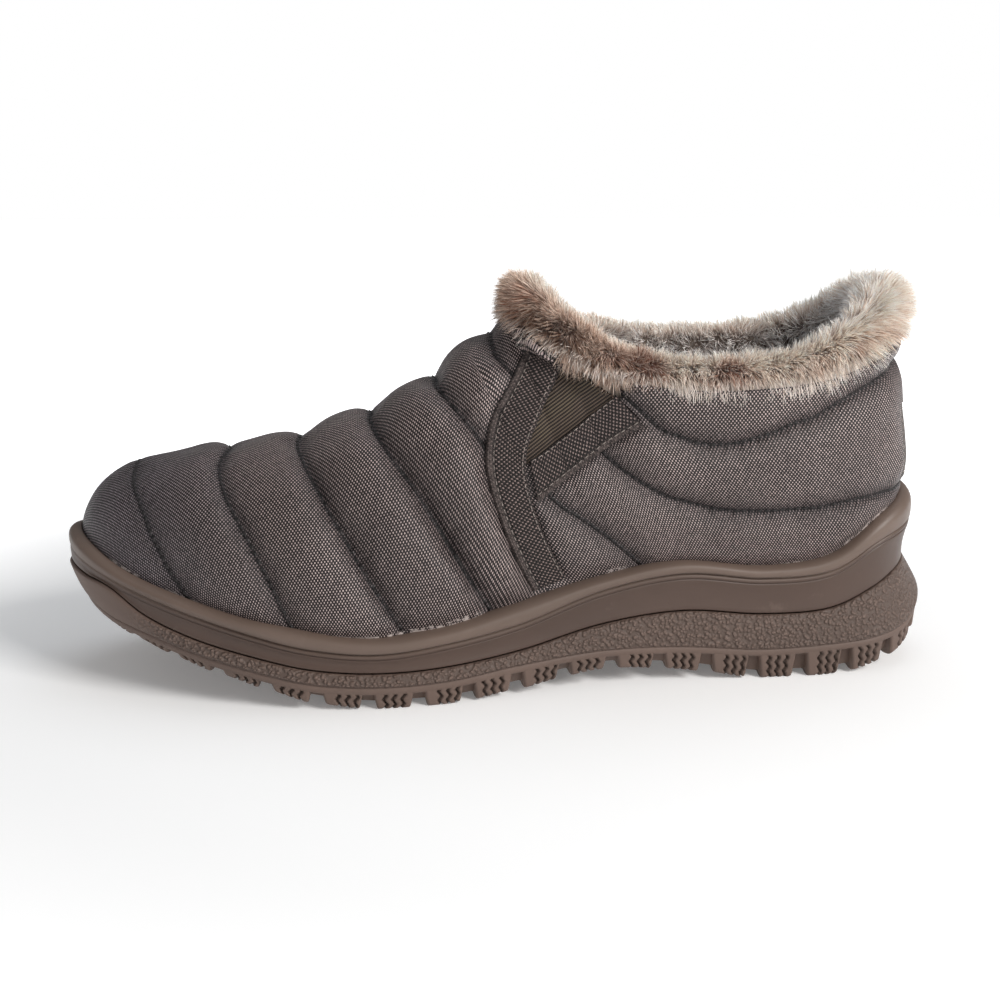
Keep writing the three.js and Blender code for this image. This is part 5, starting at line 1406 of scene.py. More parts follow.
def make_gore(word, side):
    fore = dense(AFT_D[AFT_D[:, 1] > 70.5] + [1.8, 0.0], 40)
    aft = dense(np.concatenate([[[fore[-1, 0] - 0.8, fore[-1, 1] - 0.6]], RFORE_D[4:] + [-0.9, -1.2]]), 40)[::-1]
    # rows from the tip up to the collar: fore runs down, so turn it over
    fore = fore[::-1]
    aft = aft[::-1]
    along, across = ((56, 110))
    f = np.linspace(0, 1, across + 1)
    a, b = dense(fore, along + 1), dense(aft, along + 1)
    G = a[:, None] * (1 - f)[None, :, None] + b[:, None] * f[None, :, None]
    P, N = side_surface(G[..., 0], G[..., 1], side)
    # ribs run along the rear band
    d = np.array([REAR_BAND_FORE[-1][0] - REAR_BAND_FORE[0][0], REAR_BAND_FORE[-1][1] - REAR_BAND_FORE[0][1]])
    d /= np.hypot(*d)
    along_mm = (G[..., 0] - 137) * d[0] + (G[..., 1] - 71) * d[1]
    across_mm = (G[..., 0] - 137) * -d[1] + (G[..., 1] - 71) * d[0]
    h = -0.35 + 0.10 * np.cos(across_mm * 2 * np.pi / 0.92) + 0.15 * noise3(P, 7.0, 4.0)
    top, bottom = P + N * h[..., None], P - N * 1.6
    n, m = along + 1, across + 1
    q = grid_quads(n, m)
    border = [(i, 0) for i in range(n)] + [(n - 1, j) for j in range(1, m)] + [(i, m - 1) for i in range(n - 2, -1, -1)] + [(0, j) for j in range(m - 2, 0, -1)]
    idx = np.array([i * m + j for i, j in border])
    nxt = np.roll(idx, -1)
    quads = np.concatenate([q, q[:, ::-1] + n * m, np.stack([nxt, idx, idx + n * m, nxt + n * m], 1)])
    uv = np.stack([across_mm, along_mm], -1).reshape(-1, 2) * 0.01
    xyz = to_m(np.concatenate([top.reshape(-1, 3), bottom.reshape(-1, 3)]))
    t = xyz.reshape(2, n, m, 3)[0]
    face = np.cross(t[n // 2 + 1, m // 2] - t[n // 2, m // 2], t[n // 2 + 1, m // 2 + 1] - t[n // 2, m // 2])
    if face[0] * side < 0:
        quads = quads[:, ::-1]
    o = mesh_object("gore_" + word, xyz, quads, uv=np.concatenate([uv, uv]))
    dress(o, "elastic", "elastic", "gore_" + word)


make_gore("lateral", 1)
make_gore("medial", -1)


def on_shell(u, v):
    """Points of the quilted surface at (u, v), from the grid of the upper."""
    x, side = fold(u)
    h = UF["h"]
    order = np.argsort(COLS)
    cu = COLS[order]
    hi = np.zeros(len(u))
    u, v = np.asarray(u, float), np.asarray(v, float)
    for t in range(len(u)):
        a = np.searchsorted(cu, np.mod(u[t], TURN))
        i0, i1 = order[(a - 1) % NU], order[a % NU]
        va = UF["V"][i0]
        h0 = np.interp(v[t], va, h[i0])
        h1 = np.interp(v[t], UF["V"][i1], h[i1])
        c0, c1 = COLS[i0], COLS[i1]
        span = np.mod(c1 - c0, TURN)
        f = np.mod(u[t] - c0, TURN) / span if span > 1e-9 else 0
        hi[t] = h0 * (1 - f) + h1 * f
    p, n = form(u, v), form_normal(u, v)
    return p + n * hi[:, None], n


def make_tab():
    across, up = 72, 60
    uu = (TAB_REACH + 0.45) * np.linspace(-1, 1, across + 1)
    zz = np.linspace(TAB_LOW, TAB_HIGH, up + 1)
    U, Z = np.meshgrid(uu, zz, indexing="ij")
    V = share_at(U, Z)
    P, N = form(U, V), form_normal(U, V)
    x = np.concatenate([[0], np.cumsum(np.linalg.norm(np.diff(P[:, up // 2], axis=0), axis=1))])
    y = np.concatenate([[0], np.cumsum(np.linalg.norm(np.diff(P[across // 2], axis=0), axis=1))])
    X, Y = np.meshgrid(x, y, indexing="ij")
    ex, ey = np.minimum(X, x[-1] - X), np.minimum(Y, y[-1] - Y)
    e = np.minimum(ex, ey)
    # rounded corners: points near a corner move in
    r = 2.0
    cx, cy = np.clip(r - ex, 0, r), np.clip(r - ey, 0, r)
    over = np.clip(np.hypot(cx, cy) - r, 0, None)
    q, _ = on_shell(np.mod(U, TURN).ravel(), V.ravel())
    rest = np.sum((q.reshape(P.shape) - P) * N, -1)
    for _ in range(30):
        g = np.pad(rest, 1, mode="edge")
        rest = np.maximum(0.25 * (g[:-2, 1:-1] + g[2:, 1:-1] + g[1:-1, :-2] + g[1:-1, 2:]), rest * 0.0)
    h = rest + 0.35 + 0.65 * soft_edge(e, 1e9, 1.1) - 0.28 * np.exp(-((e - 2.0) / 0.5) ** 2) + 0.22 * noise3(P, 8.0, 9.0) - 0.5 * over
    top, bottom = P + N * h[..., None], P + N * (rest - 0.5)[..., None]
    n, m = across + 1, up + 1
    q = grid_quads(n, m)
    border = [(i, 0) for i in range(n)] + [(n - 1, j) for j in range(1, m)] + [(i, m - 1) for i in range(n - 2, -1, -1)] + [(0, j) for j in range(m - 2, 0, -1)]
    idx = np.array([i * m + j for i, j in border])
    nxt = np.roll(idx, -1)
    quads = np.concatenate([q, q[:, ::-1] + n * m, np.stack([nxt, idx, idx + n * m, nxt + n * m], 1)])
    uv = np.stack([X, Y], -1).reshape(-1, 2) * 0.01
    # the stitched groove, also for the painted shade in it
    line = np.exp(-((e - 2.0) / 0.45) ** 2)
    xyz = to_m(np.concatenate([top.reshape(-1, 3), bottom.reshape(-1, 3)]))
    t = xyz.reshape(2, n, m, 3)[0]
    face = np.cross(t[n // 2 + 1, m // 2] - t[n // 2, m // 2], t[n // 2 + 1, m // 2 + 1] - t[n // 2, m // 2])
    if face[1] < 0:
        quads = quads[:, ::-1]
    o = mesh_object("heel_tab", xyz, quads, uv=np.concatenate([uv, uv]), values={"line": np.concatenate([line.ravel()] * 2)})
    dress(o, "patch", "label_patch", "heel_tab")
    i0, i1 = np.argmin(np.abs(x - 2.0)), np.argmin(np.abs(x - x[-1] + 2.0))
    j0, j1 = np.argmin(np.abs(y - 2.0)), np.argmin(np.abs(y - y[-1] + 2.0))
    loop = [(i, j0) for i in range(i0, i1)] + [(i1, j) for j in range(j0, j1)] + [(i, j1) for i in range(i1, i0, -1)] + [(i0, j) for j in range(j1, j0 - 1, -1)]
    ii, jj = np.array(loop).T
    return top[ii, jj], N[ii, jj]


TAB_LOOP = make_tab()


# ---------------------------------------------------------------- stitches
def stitch_mesh(name, lines, mat, slot, pitch=2.5, length=1.75, width=0.42, lift=0.06):
    """Short threads laid along lines of points with normals: each one an arched, tapered strand."""
    P, Q, off = [], [], 0
    prof = [(-1.0, -0.5, 0.35), (-0.72, 0.45, 0.85), (0.0, 0.85, 1.0), (0.72, 0.45, 0.85), (1.0, -0.5, 0.35)]
    sides = 6
    ang = np.arange(sides) / sides * 2 * np.pi
    for pts, nrm, shift in lines:
        d = np.concatenate([[0], np.cumsum(np.linalg.norm(np.diff(pts, axis=0), axis=1))])
        count = int(d[-1] / pitch)
        if count < 1:
            continue
        c = (np.arange(count) + 0.5 + shift) * pitch
        get = lambda arr, t: np.stack([np.interp(t, d, arr[:, k]) for k in range(3)], -1)
        mid, nn = get(pts, c), unit(get(nrm, c))
        tan = unit(get(pts, c + 0.4) - get(pts, c - 0.4))
        bi = unit(np.cross(nn, tan))
        rows = []
        for f, up, w in prof:
            core = get(pts, c + f * length / 2) + nn * (lift + up * 0.5 * width)
            ring = core[:, None] + (bi[:, None] * np.cos(ang)[None, :, None] + nn[:, None] * np.sin(ang)[None, :, None]) * (0.5 * width * w)
            rows.append(ring)
        G = np.stack(rows, 1)
        m = len(prof)
        i = np.arange(m - 1)[:, None]
        j = np.arange(sides)[None]
        k = (j + 1) % sides
        q = np.stack([i * sides + j, i * sides + k, (i + 1) * sides + k, (i + 1) * sides + j], -1).reshape(-1, 4)
        caps = np.array([[3, 2, 1, 0], [5, 4, 3, 0], [(m - 1) * sides + t for t in (0, 1, 2, 3)], [(m - 1) * sides + t for t in (0, 3, 4, 5)]])
        q = np.concatenate([q, caps])
        Q.append((q[None] + (np.arange(count) * m * sides)[:, None, None]).reshape(-1, 4) + off)
        P.append(G.reshape(-1, 3))
        off += count * m * sides
    o = mesh_object(name, to_m(np.concatenate(P)), np.concatenate(Q))
    dress(o, mat, slot)
    return o


vamp_lines = []
for _name, _run in RUNS.items():
    p, nn = on_shell(_run[:, 0], _run[:, 1])
    s, z = p[:, 0], p[:, 2]
    ok = ~(inside(FRONT_POLY, s, z) | inside(REAR_POLY, s, z) | inside(GORE_POLY, s, z)) & (z > at("rim", _run[:, 0]) + 0.8)
    # runs of visible points only
    start = None
    for t in range(len(ok) + 1):
        if t < len(ok) and ok[t]:
            start = t if start is None else start
        elif start is not None:
            if t - start > 4:
                vamp_lines.append((p[start:t], nn[start:t], 0.0))
            start = None
stitch_mesh("stitches_quilting", vamp_lines, "thread", "quilted_nylon", 2.5, 1.9, 0.40, 0.10)
stitch_mesh("stitches_webbing", STITCH_LINES, "thread_pale", "webbing", 2.3, 1.5, 0.34, 0.04)
stitch_mesh("stitches_tab", [(TAB_LOOP[0], TAB_LOOP[1], 0.0)], "thread_pale", "label_patch", 2.2, 1.6, 0.36, 0.05)

# ---------------------------------------------------------------- inside: lining and footbed
def make_lining():
    nx, nv = ((150, 40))
    half = half_columns(nx)
    cols = np.concatenate([half, TURN - half[1:-1][::-1]])
    n = len(cols)
    V0 = share_at(cols, at("bed", cols) + 3.0)
    t = np.linspace(0, 1, nv)
    V = V0[:, None] + (1 - V0)[:, None] * t[None]
    U = np.repeat(cols[:, None], nv, 1)
    x, side = fold(cols)
    P, N = form(U, V), form_normal(U, V)
    depth = WALL + 0.5 * noise3(P, 9.0, 11.0) + 0 * V
    Q = P - N * depth[..., None]
    crown_row = x >= U_THROAT - 1e-9
    mirror = (n - np.arange(n)) % n
    Q[:, -1] = np.where(crown_row[:, None], 0.5 * (Q[:, -1] + Q[mirror, -1]), Q[:, -1])
    index = np.arange(n * nv).reshape(n, nv)
    dup = crown_row & (side < 0)
    index[dup, -1] = index[mirror[dup], -1]
    i = np.arange(n); k = (i + 1) % n; j = np.arange(nv - 1)
    quads = np.stack([index[i][:, j], index[k][:, j], index[k][:, j + 1], index[i][:, j + 1]], -1).reshape(-1, 4)
    bad = np.array([len(set(q)) < 4 for q in quads.tolist()])
    # over the wall's top to the nylon
    pts = [Q.reshape(-1, 3)]
    low = np.where(~crown_row | (np.abs(x - U_THROAT) < 1e-9))[0]
    ringcols = [c for c in range(n) if x[c] <= U_THROAT + 1e-9]
    # columns from the throat round the heel and back, in run order
    run = [c for c in range(n) if x[c] <= U_THROAT + 1e-9 and side[c] > 0]
    back = [c for c in range(n) if x[c] <= U_THROAT - 1e-9 and side[c] < 0]
    order = back + run                                   # inner side ... heel ... outer side ... throat
    top_out, top_n = P[order, -1], N[order, -1]
    rows = []
    for f in (0.0, 0.35, 0.7, 1.0):
        lift = 1.2 * math.sin(math.pi * f)
        rows.append(top_out - top_n * (WALL * (1 - f) + 0.3) + np.array([0, 0, 1.0]) * lift)
    R = np.stack(rows, 1)
    b = n * nv
    m = len(order)
    pts.append(R.reshape(-1, 3))
    ii = np.arange(m); kk = (ii + 1) % m; jj = np.arange(3)
    q2 = np.stack([b + ii[:, None] * 4 + jj, b + kk[:, None] * 4 + jj, b + kk[:, None] * 4 + jj + 1, b + ii[:, None] * 4 + jj + 1], -1).reshape(-1, 4)
    quads = np.concatenate([quads[~bad][:, ::-1], q2[:, ::-1]])
    pts = np.concatenate(pts)
    used = np.unique(quads)
    remap = np.full(len(pts), -1); remap[used] = np.arange(len(used))
    o = mesh_object("lining", to_m(pts[used]), remap[quads])
    dress(o, "lining", "pile_lining", "upper")
    return o


def make_insole():
    cols, _, _ = run_columns(240)
    bed = at("bed", cols)
    def loop(z_up, inset):
        z = bed + z_up
        v = share_at(cols, z)
        p, nn = form(cols, v), form_normal(cols, v)
        q = p - nn * (WALL + GAP + inset)
        q[:, 2] = z
        return q
    rings = [loop(GAP, 0.5), loop(GAP + 2.0, 0.35), loop(GAP + INSOLE_THICK - 1.4, 0.4), loop(GAP + INSOLE_THICK - 0.3, 1.0), loop(GAP + INSOLE_THICK, 2.2)]
    n = 240
    P = np.concatenate(rings)
    quads = []
    i = np.arange(n); k = (i + 1) % n
    for r in range(len(rings) - 1):
        quads.append(np.stack([r * n + i, r * n + k, (r + 1) * n + k, (r + 1) * n + i], 1))
    # top and bottom, across
    base = len(P)
    h = n // 2
    f = np.linspace(0, 1, 25)
    for ring, flip in ((rings[-1], False), (rings[0], True)):
        a, b = ring[np.arange(0, h + 1)], ring[(n - np.arange(0, h + 1)) % n]
        g = a[:, None] * (1 - f)[None, :, None] + b[:, None] * f[None, :, None]
        if not flip:
            g[..., 2] += 0.35 * noise3(g, 6.0, 3.0) * np.sin(np.pi * f)[None] - 1.2 * np.sin(np.pi * f)[None] * np.clip((110 - g[..., 0]) / 60, 0, 1)
        q = grid_quads(h + 1, 25)
        quads.append((q if flip else q[:, ::-1]) + base)
        P = np.concatenate([P, g.reshape(-1, 3)])
        base += g.shape[0] * g.shape[1]
    o = mesh_object("footbed", to_m(P), np.concatenate(quads)[:, ::-1])
    dress(o, "insole", "pile_lining", "insole")


make_lining()
make_insole()

# ---------------------------------------------------------------- long pile
rng = np.random.RandomState(41)
CUFF_KEYS = foot_keys(CUFF_ROWS[:, 0])


def ring_frame(k):
    """Collar edge at k: place, outward direction, run direction, cuff height, cuff reach."""
    p = np.stack([collar("s", k), collar("w", k), collar("z", k) * KZ], -1)
    e = 0.05
    d = np.stack([collar("s", k + e) - collar("s", k - e), collar("w", k + e) - collar("w", k - e)], -1)
    l = np.linalg.norm(d, axis=-1, keepdims=True)
    n = np.stack([d[..., 1], -d[..., 0]], -1) / l
    flip = np.where(n[..., 0] * (p[..., 0] - 78) + n[..., 1] * p[..., 1] < 0, -1.0, 1.0)
    n = n * flip[..., None]
    kk = np.mod(k, 2 * U_THROAT)
    x = np.where(kk <= U_THROAT, kk, 2 * U_THROAT - kk)
    tall, out = spl(CUFF_KEYS, CUFF_ROWS[:, 1], x), spl(CUFF_KEYS, CUFF_ROWS[:, 2], x)
    zero = np.zeros_like(k)
    e = 0.04
    q1 = np.stack([collar("s", k + e), collar("w", k + e), collar("z", k + e) * KZ], -1)
    q0 = np.stack([collar("s", k - e), collar("w", k - e), collar("z", k - e) * KZ], -1)
    return p, np.stack([n[..., 0], n[..., 1], zero], -1), unit(q1 - q0), tall, out


UP = np.array([0.0, 0.0, 1.0])


def core(k, a):
    """The backing under the pile: place and normal at ring position k, section angle a."""
    p, n, t, tall, out = ring_frame(k)
    far = np.clip((-p[..., 1] - 6) / 14, 0, 1) * np.clip((p[..., 0] - 30) / 30, 0, 1) * np.clip((128 - p[..., 0]) / 25, 0, 1)
    half_w, half_h = 3.4 + 0 * tall, np.maximum(tall / 2 - 3.9, 3.0) + 1.6 * far
    ca, sa = np.cos(a), np.sin(a)
    px, pz = np.sign(ca) * np.abs(ca) ** 0.8, np.sign(sa) * np.abs(sa) ** 0.8
    mid = (out - 7.6)[..., None] * n + (half_h + GAP + 0.6 + 1.0 * far)[..., None] * UP
    place = p + mid + (px * half_w)[..., None] * n + (pz * half_h)[..., None] * UP
    normal = unit((ca * half_h)[..., None] * n + (sa * half_w)[..., None] * UP)
    return place, normal, n, t, tall


def make_core():
    n, m = 160, 20
    k = np.linspace(0, 2 * U_THROAT, n, endpoint=False)
    a = np.linspace(0, 2 * np.pi, m, endpoint=False)
    K, A = np.meshgrid(k, a, indexing="ij")
    P, N, _, _, _ = core(K, A)
    P = P + N * (0.7 * noise3(P, 3.0, 5.0))[..., None]
    i = np.arange(n)[:, None]; j = np.arange(m)[None]
    q = np.stack([i * m + j + 0 * i, ((i + 1) % n) * m + j, ((i + 1) % n) * m + (j + 1) % m, i * m + (j + 1) % m], -1).reshape(-1, 4)
    xyz = to_m(P).reshape(n, m, 3)
    f = np.cross(xyz[1, 0] - xyz[0, 0], xyz[0, 1] - xyz[0, 0])
    if f @ (xyz[0, 0] - xyz[0].mean(0)) < 0:
        q = q[:, ::-1]
    o = mesh_object("pile_backing", xyz, q)
    dress(o, "underfur", "long_pile", "fur_collar")


def ribbons(name, root, way, bend, length, width, face, shade, mat, slot, node=None):
    """Tapered strands: root, starting way, bend (per length squared), facing, shade (strand, 4 points, rgb)."""
    f = np.array([0.0, 0.34, 0.68, 1.0])
    w = np.array([0.9, 1.0, 0.72, 0.0])
    L = length[:, None, None]
    P = root[:, None] + way[:, None] * L * f[None, :, None] + bend[:, None] * L * (f ** 2)[None, :, None]
    T = unit(way[:, None] + 2 * bend[:, None] * f[None, :, None])
    B = unit(np.cross(T, face[:, None] + 0 * T))
    off = B * (0.5 * width[:, None] * w[None])[..., None]
    left, right = P + off, P - off
    pts = np.stack([left[:, 0], right[:, 0], left[:, 1], right[:, 1], left[:, 2], right[:, 2], P[:, 3]], 1)
    col = np.stack([shade[:, 0], shade[:, 0], shade[:, 1], shade[:, 1], shade[:, 2], shade[:, 2], shade[:, 3]], 1)
    base = (np.arange(len(root)) * 7)[:, None]
    q = np.concatenate([base + np.array([[0, 1, 3, 2]]), base + np.array([[2, 3, 5, 4]])])
    t = base + np.array([[4, 5, 6]])
    rgb = col.reshape(-1, 3)
    o = mesh_object(name, to_m(pts.reshape(-1, 3)), q, t, colors={"tint": rgb})
    dress(o, mat, slot, *([node] if node else []))
    return o


def smooth01(x, a, b):
    t = np.clip((x - a) / (b - a), 0, 1)
    return t * t * (3 - 2 * t)


def srgb(r, g, b):
    c = np.array([r, g, b]) / 255.0
    return np.where(c <= 0.04045, c / 12.92, ((c + 0.055) / 1.055) ** 2.4)


PALE, CREAM, SILVER = srgb(250, 242, 238), srgb(247, 234, 218), srgb(246, 241, 242)
BEIGE, BROWN, RUST = srgb(216, 198, 184), srgb(150, 118, 98), srgb(158, 108, 86)
ROOT_DARK, ROOT_GREY = srgb(126, 102, 90), srgb(156, 147, 144)


def pile_shade(count, patch, rust, grey, tipup):
    r = rng.rand(count, 1)
    mix = lambda a, b, f: a * (1 - f) + b * f
    root = mix(ROOT_DARK, ROOT_GREY, grey[:, None])
    mid = mix(mix(BEIGE, BROWN, patch[:, None]), SILVER * 0.72, grey[:, None])
    mid = mix(mid, RUST, (rust * patch * 0.7)[:, None])
    tip = mix(mix(PALE, CREAM, 0.6 * rng.rand(count, 1)), BEIGE * 0.9, (patch * 0.75)[:, None])
    tip = mix(tip, SILVER, (grey * 0.8)[:, None])
    dark = (rng.rand(count, 1) < 0.13 + 0.22 * patch[:, None])
    tip = np.where(dark, mid * 0.8, tip)
    three = mix(mid, tip, 0.55)
    shade = np.stack([root * 0.9, mix(root, mid, 0.75), three, tip], 1)
    return np.clip(shade * (0.80 + 0.34 * r)[:, None], 0, 1)


def make_fur(name, count, low, high, seed):
    """Pile on the backing between two section angles (0 outer side, half a turn the inner side)."""
    k = np.linspace(0, 2 * U_THROAT, 1200, endpoint=False)
    p, n, t, tall, out = ring_frame(k)
    step = np.linalg.norm(np.roll(p, -1, 0) - p, axis=1) * (tall + 8)
    cdf = np.concatenate([[0], np.cumsum(step)])
    kk = np.interp(rng.rand(count) * cdf[-1], cdf, np.concatenate([k, [2 * U_THROAT]]))
    # section angle: even over the superellipse, near enough
    grid = np.linspace(low, high, 200)
    dense_at = 1.0 + 1.3 * np.exp(-((grid - 0.95) / 0.45) ** 2)
    cum = np.concatenate([[0], np.cumsum(dense_at[:-1])])
    aa = np.interp(rng.rand(count) * cum[-1], cum, grid)
    s_here, w_here = collar("s", kk), collar("w", kk)
    aa = np.maximum(aa, -1.45 + 1.45 * smooth01(s_here, 38, 18)) if low < 0 else aa
    aa = aa - 0.42 * smooth01(s_here, 98, 118) * np.clip((0.3 - aa) / 1.75, 0, 1)
    root, nn, o, t, tall = core(kk, aa)
    ca, sa = np.cos(aa), np.sin(aa)
    outer, top, inner = np.clip(ca, 0, 1), np.clip(sa, 0, 1), np.clip(-ca, 0, 1)
    low_part = np.clip(-sa, 0, 1)
    wave1, wave2 = noise3(root, 13.0, 21.0), noise3(root, 5.5, 22.0)
    tuft = np.stack([noise3(root, 3.0, 31.0), noise3(root, 3.0, 32.0), noise3(root, 3.0, 33.0)], -1)
    jitter = rng.normal(0, 1, (count, 3))
    way = nn + t * (0.30 * wave1 + 0.12 * wave2)[:, None] + jitter * 0.25 + tuft * 0.38
    heel = smooth01(root[:, 0], 42, 20)
    hang = smooth01(root[:, 0], 30, 52) * smooth01(root[:, 0], 104, 78) * (root[:, 1] > 0)
    way = way + UP * (0.16 * top - (0.17 - 0.12 * heel + 0.06 * hang) * outer ** 2 - 0.10 * inner - 0.1 * low_part)[:, None] + o * (0.26 * top)[:, None]
    way = unit(way)
    bend = -UP * ((0.24 - 0.14 * heel + 0.06 * hang) * outer + 0.08 * inner + 0.08 * top)[:, None] + o * (0.16 * top + 0.05 * outer)[:, None] - o * (0.05 * inner)[:, None] + tuft * 0.16 + jitter[:, ::-1] * 0.07
    scale = np.clip(0.80 + (tall - 13) * 0.030, 0.78, 1.1)
    length = (8.4 * outer + 7.6 * top + 6.4 * inner + (7.6 - 2.6 * heel + 1.6 * hang) * low_part) / np.maximum(outer + top + inner + low_part, 1e-6)
    length = length * scale * (0.62 + 0.5 * rng.rand(count) ** 0.6)
    width = 0.20 + 0.12 * rng.rand(count)
    face = unit(nn + jitter[:, [1, 2, 0]] * 0.45)
    band = np.exp(-((aa - 0.22) / 0.62) ** 2)
    ring_s = root[:, 0]
    spot = noise3(root, 9.0, 51.0) * 0.7 + noise3(root, 4.0, 52.0) * 0.4
    lead = smooth01(ring_s, 70, 118) * (root[:, 1] > -6)
    patch = np.clip(smooth01(spot + 0.75 * band + 0.35 * lead * np.exp(-((aa - 0.5) / 0.9) ** 2), 0.30, 1.05), 0, 1)
    crest = np.exp(-((aa - 1.75) / 0.45) ** 2)
    back = smooth01(ring_s, 62, 24)
    patch = patch * (1 - 0.75 * crest) * (1 - 0.45 * back) + 0.22 * smooth01(ring_s, 88, 116) * (aa < 1.4)
    patch = np.clip(patch, 0, 1)
    rust = smooth01(noise3(root, 7.0, 61.0), -0.1, 0.5)
    grey = np.clip(0.25 * crest + smooth01(aa, 1.9, 2.9), 0, 1) * 0.85
    shade = pile_shade(count, patch, rust, grey, 0)
    zone = (smooth01(ring_s, 90, 116) * smooth01(aa, 2.2, 1.3))[:, None, None]
    tint = np.array([1.21, 1.185, 1.15]) * (1 - zone) + np.array([0.96, 0.855, 0.775]) * zone
    shade = np.clip(shade * (1 + 0.10 * back + 0.10 * crest)[:, None, None] * tint, 0, 0.95)
    return ribbons(name, root - nn * 0.3, way, bend, length, width, face, shade, "strand", "long_pile", "fur_collar")


def make_fringe(name, count):
    """Pile that hangs from the collar's edge over the nylon."""
    kk = 2 * U_THROAT * rng.rand(count)
    p, n, t, tall, out = ring_frame(kk)
    s, w = p[:, 0], p[:, 1]
    hang = smooth01(s, 26, 52) * smooth01(s, 118, 84)
    on = s > 26
    kk, p, n, t, tall, out, s, w, hang = kk[on], p[on], n[on], t[on], tall[on], out[on], s[on], w[on], hang[on]
    count = len(s)
    down = rng.rand(count)
    root = p + n * (out - 1.6)[:, None] + UP * (1.4 + 3.0 * down)[:, None]
    tuft = np.stack([noise3(root, 3.4, 34.0), noise3(root, 3.4, 35.0), noise3(root, 3.4, 36.0)], -1)
    jitter = rng.normal(0, 1, (count, 3))
    way = unit(n * 0.85 - UP * (0.25 + 0.45 * hang)[:, None] + t * (0.30 * noise3(root, 12.0, 23.0))[:, None] + jitter * 0.20 + tuft * 0.26)
    bend = -UP * (0.14 + 0.34 * hang)[:, None] + tuft * 0.15
    length = (3.0 + 2.7 * hang + 3.6 * smooth01(s, 98, 122)) * (0.45 + 0.65 * rng.rand(count))
    width = 0.19 + 0.12 * rng.rand(count)
    patch = smooth01(noise3(root, 9.0, 51.0) * 0.7 + noise3(root, 4.0, 52.0) * 0.4, 0.30, 1.0) * 0.5
    shade = pile_shade(count, patch, 0 * patch, 0 * patch, 0)
    face = unit(n + UP * 0.4 + jitter[:, [1, 2, 0]] * 0.4)
    return ribbons(name, root, way, bend, length, width, face, shade * 0.84, "strand", "long_pile", "fur_collar")


def make_binding():
    """Rolled nylon edge round the back of the collar, under the pile."""
    k = np.linspace(-run_binding, run_binding, 220)
    p, n, t, tall, out = ring_frame(np.mod(k, 2 * U_THROAT))
    ends = np.clip((run_binding - np.abs(k)) / 2.5, 0.02, 1)
    m = 14
    a = np.arange(m) / m * 2 * np.pi
    mid = p + n * 0.9 + UP * -0.6
    wob = 0.12 * noise1(np.cumsum(np.concatenate([[0], np.linalg.norm(np.diff(p, axis=0), axis=1)])) / 3.0, 12.0)
    r = (1.9 + wob) * ends
    P = mid[:, None] + (n[:, None] * np.cos(a)[None, :, None] + UP * np.sin(a)[None, :, None] * 1.15) * r[:, None, None]
    i = np.arange(len(k) - 1)[:, None]; j = np.arange(m)[None]
    q = np.stack([i * m + j, (i + 1) * m + j, (i + 1) * m + (j + 1) % m, i * m + (j + 1) % m], -1).reshape(-1, 4)
    xyz = to_m(P).reshape(len(k), m, 3)
    f = np.cross(xyz[1, 0] - xyz[0, 0], xyz[0, 1] - xyz[0, 0])
    if f @ (xyz[0, 0] - xyz[0].mean(0)) < 0:
        q = q[:, ::-1]
    arc = np.concatenate([[0], np.cumsum(np.linalg.norm(np.diff(p, axis=0), axis=1))])
    uv = np.stack([np.repeat(arc[:, None], m, 1), np.repeat((a * 1.9)[None], len(k), 0)], -1).reshape(-1, 2) * 0.01
    c = np.ones(len(k) * m)
    o = mesh_object("collar_binding", xyz, q, uv=uv, values={"seam": 20 * c, "seamd": 20 * c, "along": 0 * c, "rimd": 40 * c, "bandd": 20 * c, "stn": 30 * c})
    dress(o, "nylon", "quilted_nylon", "upper")


run_binding = float(np.interp(66.0, collar("s", np.linspace(0, U_THROAT, 400)), np.linspace(0, U_THROAT, 400)))


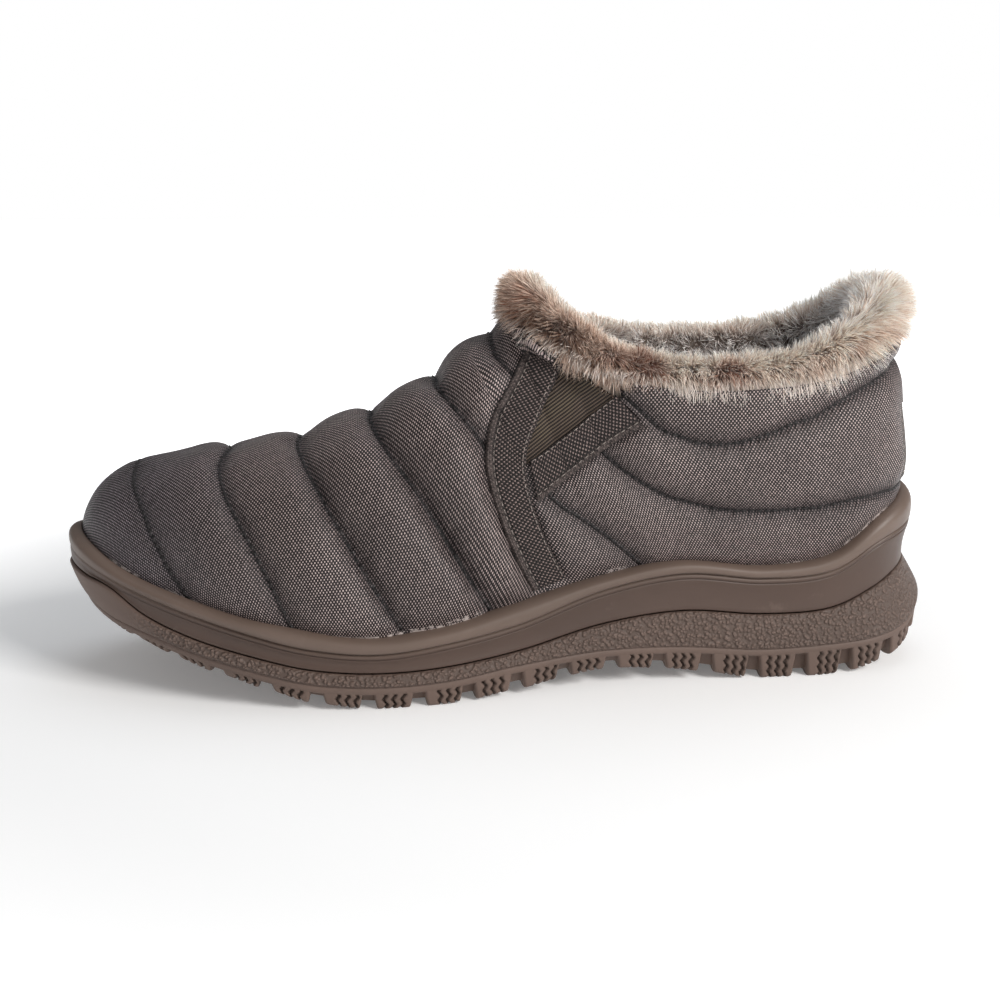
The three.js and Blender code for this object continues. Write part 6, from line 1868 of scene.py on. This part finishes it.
def make_lining_pile(name, count):
    u = rng.rand(count) * TURN
    x, side = fold(u)
    keep = (x < U_THROAT + 1.2)
    u = u[keep]
    x, side = fold(u)
    down = rng.rand(len(u)) ** 0.8
    top = form(u, np.ones(len(u)))[:, 2]
    z = top + 1.0 - down * np.where(x < U_THROAT, 44.0, 16.0)
    z = np.maximum(z, at("bed", u) + GAP + INSOLE_THICK + 1.0)
    v = share_at(u, z)
    p, n = form(u, v), form_normal(u, v)
    root = p - n * (WALL - 0.2)
    count = len(u)
    tuft = np.stack([noise3(root, 3.2, 71.0), noise3(root, 3.2, 72.0), noise3(root, 3.2, 73.0)], -1)
    jitter = rng.normal(0, 1, (count, 3))
    way = unit(-n + UP * 0.45 + jitter * 0.25 + tuft * 0.45)
    bend = -UP * 0.10 + tuft * 0.25 + jitter[:, ::-1] * 0.08
    length = 7.0 * (0.6 + 0.5 * rng.rand(count))
    width = 0.32 + 0.16 * rng.rand(count)
    face = unit(-n + jitter[:, [1, 2, 0]] * 0.4)
    spot = smooth01(noise3(root, 8.0, 81.0) + 0.5 * noise3(root, 3.5, 82.0), 0.05, 0.75)
    shade = np.clip(pile_shade(count, spot * 0.40, 0 * spot, 0.95 - 0.3 * spot, 0) * 1.18, 0, 0.95)
    return ribbons(name, root, way, bend, length, width, face, shade, "strand", "pile_lining", "upper")


make_core()
make_binding()
_n = 1.0
make_fur("pile_outer", int(35000 * _n), -1.45, 1.05, 1)
make_fur("pile_crest", int(25500 * _n), 1.05, 3.6, 2)
make_fringe("pile_fringe", int(8500 * _n))
make_lining_pile("pile_inside", int(25000 * _n))

# ---------------------------------------------------------------- floor, end
def make_floor():
    me = bpy.data.meshes.new("floor")
    r = 6.0
    me.from_pydata([(-r, -r, 0), (r, -r, 0), (r, r, 0), (-r, r, 0)], [], [(0, 1, 2, 3)])
    o = bpy.data.objects.new("floor", me)
    scene.collection.objects.link(o)
    mat = bpy.data.materials.new("floor")
    mat.use_nodes = True
    b = mat.node_tree.nodes["Principled BSDF"]
    b.inputs["Base Color"].default_value = (0.94, 0.94, 0.94, 1)
    b.inputs["Roughness"].default_value = 0.9
    b.inputs["Specular IOR Level"].default_value = 0.1
    b.inputs["Emission Color"].default_value = (1, 1, 1, 1)
    # far from the shoe the floor glows: painted light, fading near the shoe
    tree = mat.node_tree
    spot = tree.nodes.new("ShaderNodeNewGeometry")
    far = tree.nodes.new("ShaderNodeVectorMath")
    far.operation = "LENGTH"
    fade = tree.nodes.new("ShaderNodeMapRange")
    fade.interpolation_type = "SMOOTHSTEP"
    for k, x in zip((1, 2, 3, 4), (0.15, 0.45, 0.14, 1.0)):
        fade.inputs[k].default_value = x
    tree.links.new(spot.outputs["Position"], far.inputs[0])
    tree.links.new(far.outputs["Value"], fade.inputs[0])
    tree.links.new(fade.outputs[0], b.inputs["Emission Strength"])
    me.materials.append(mat)


make_floor()
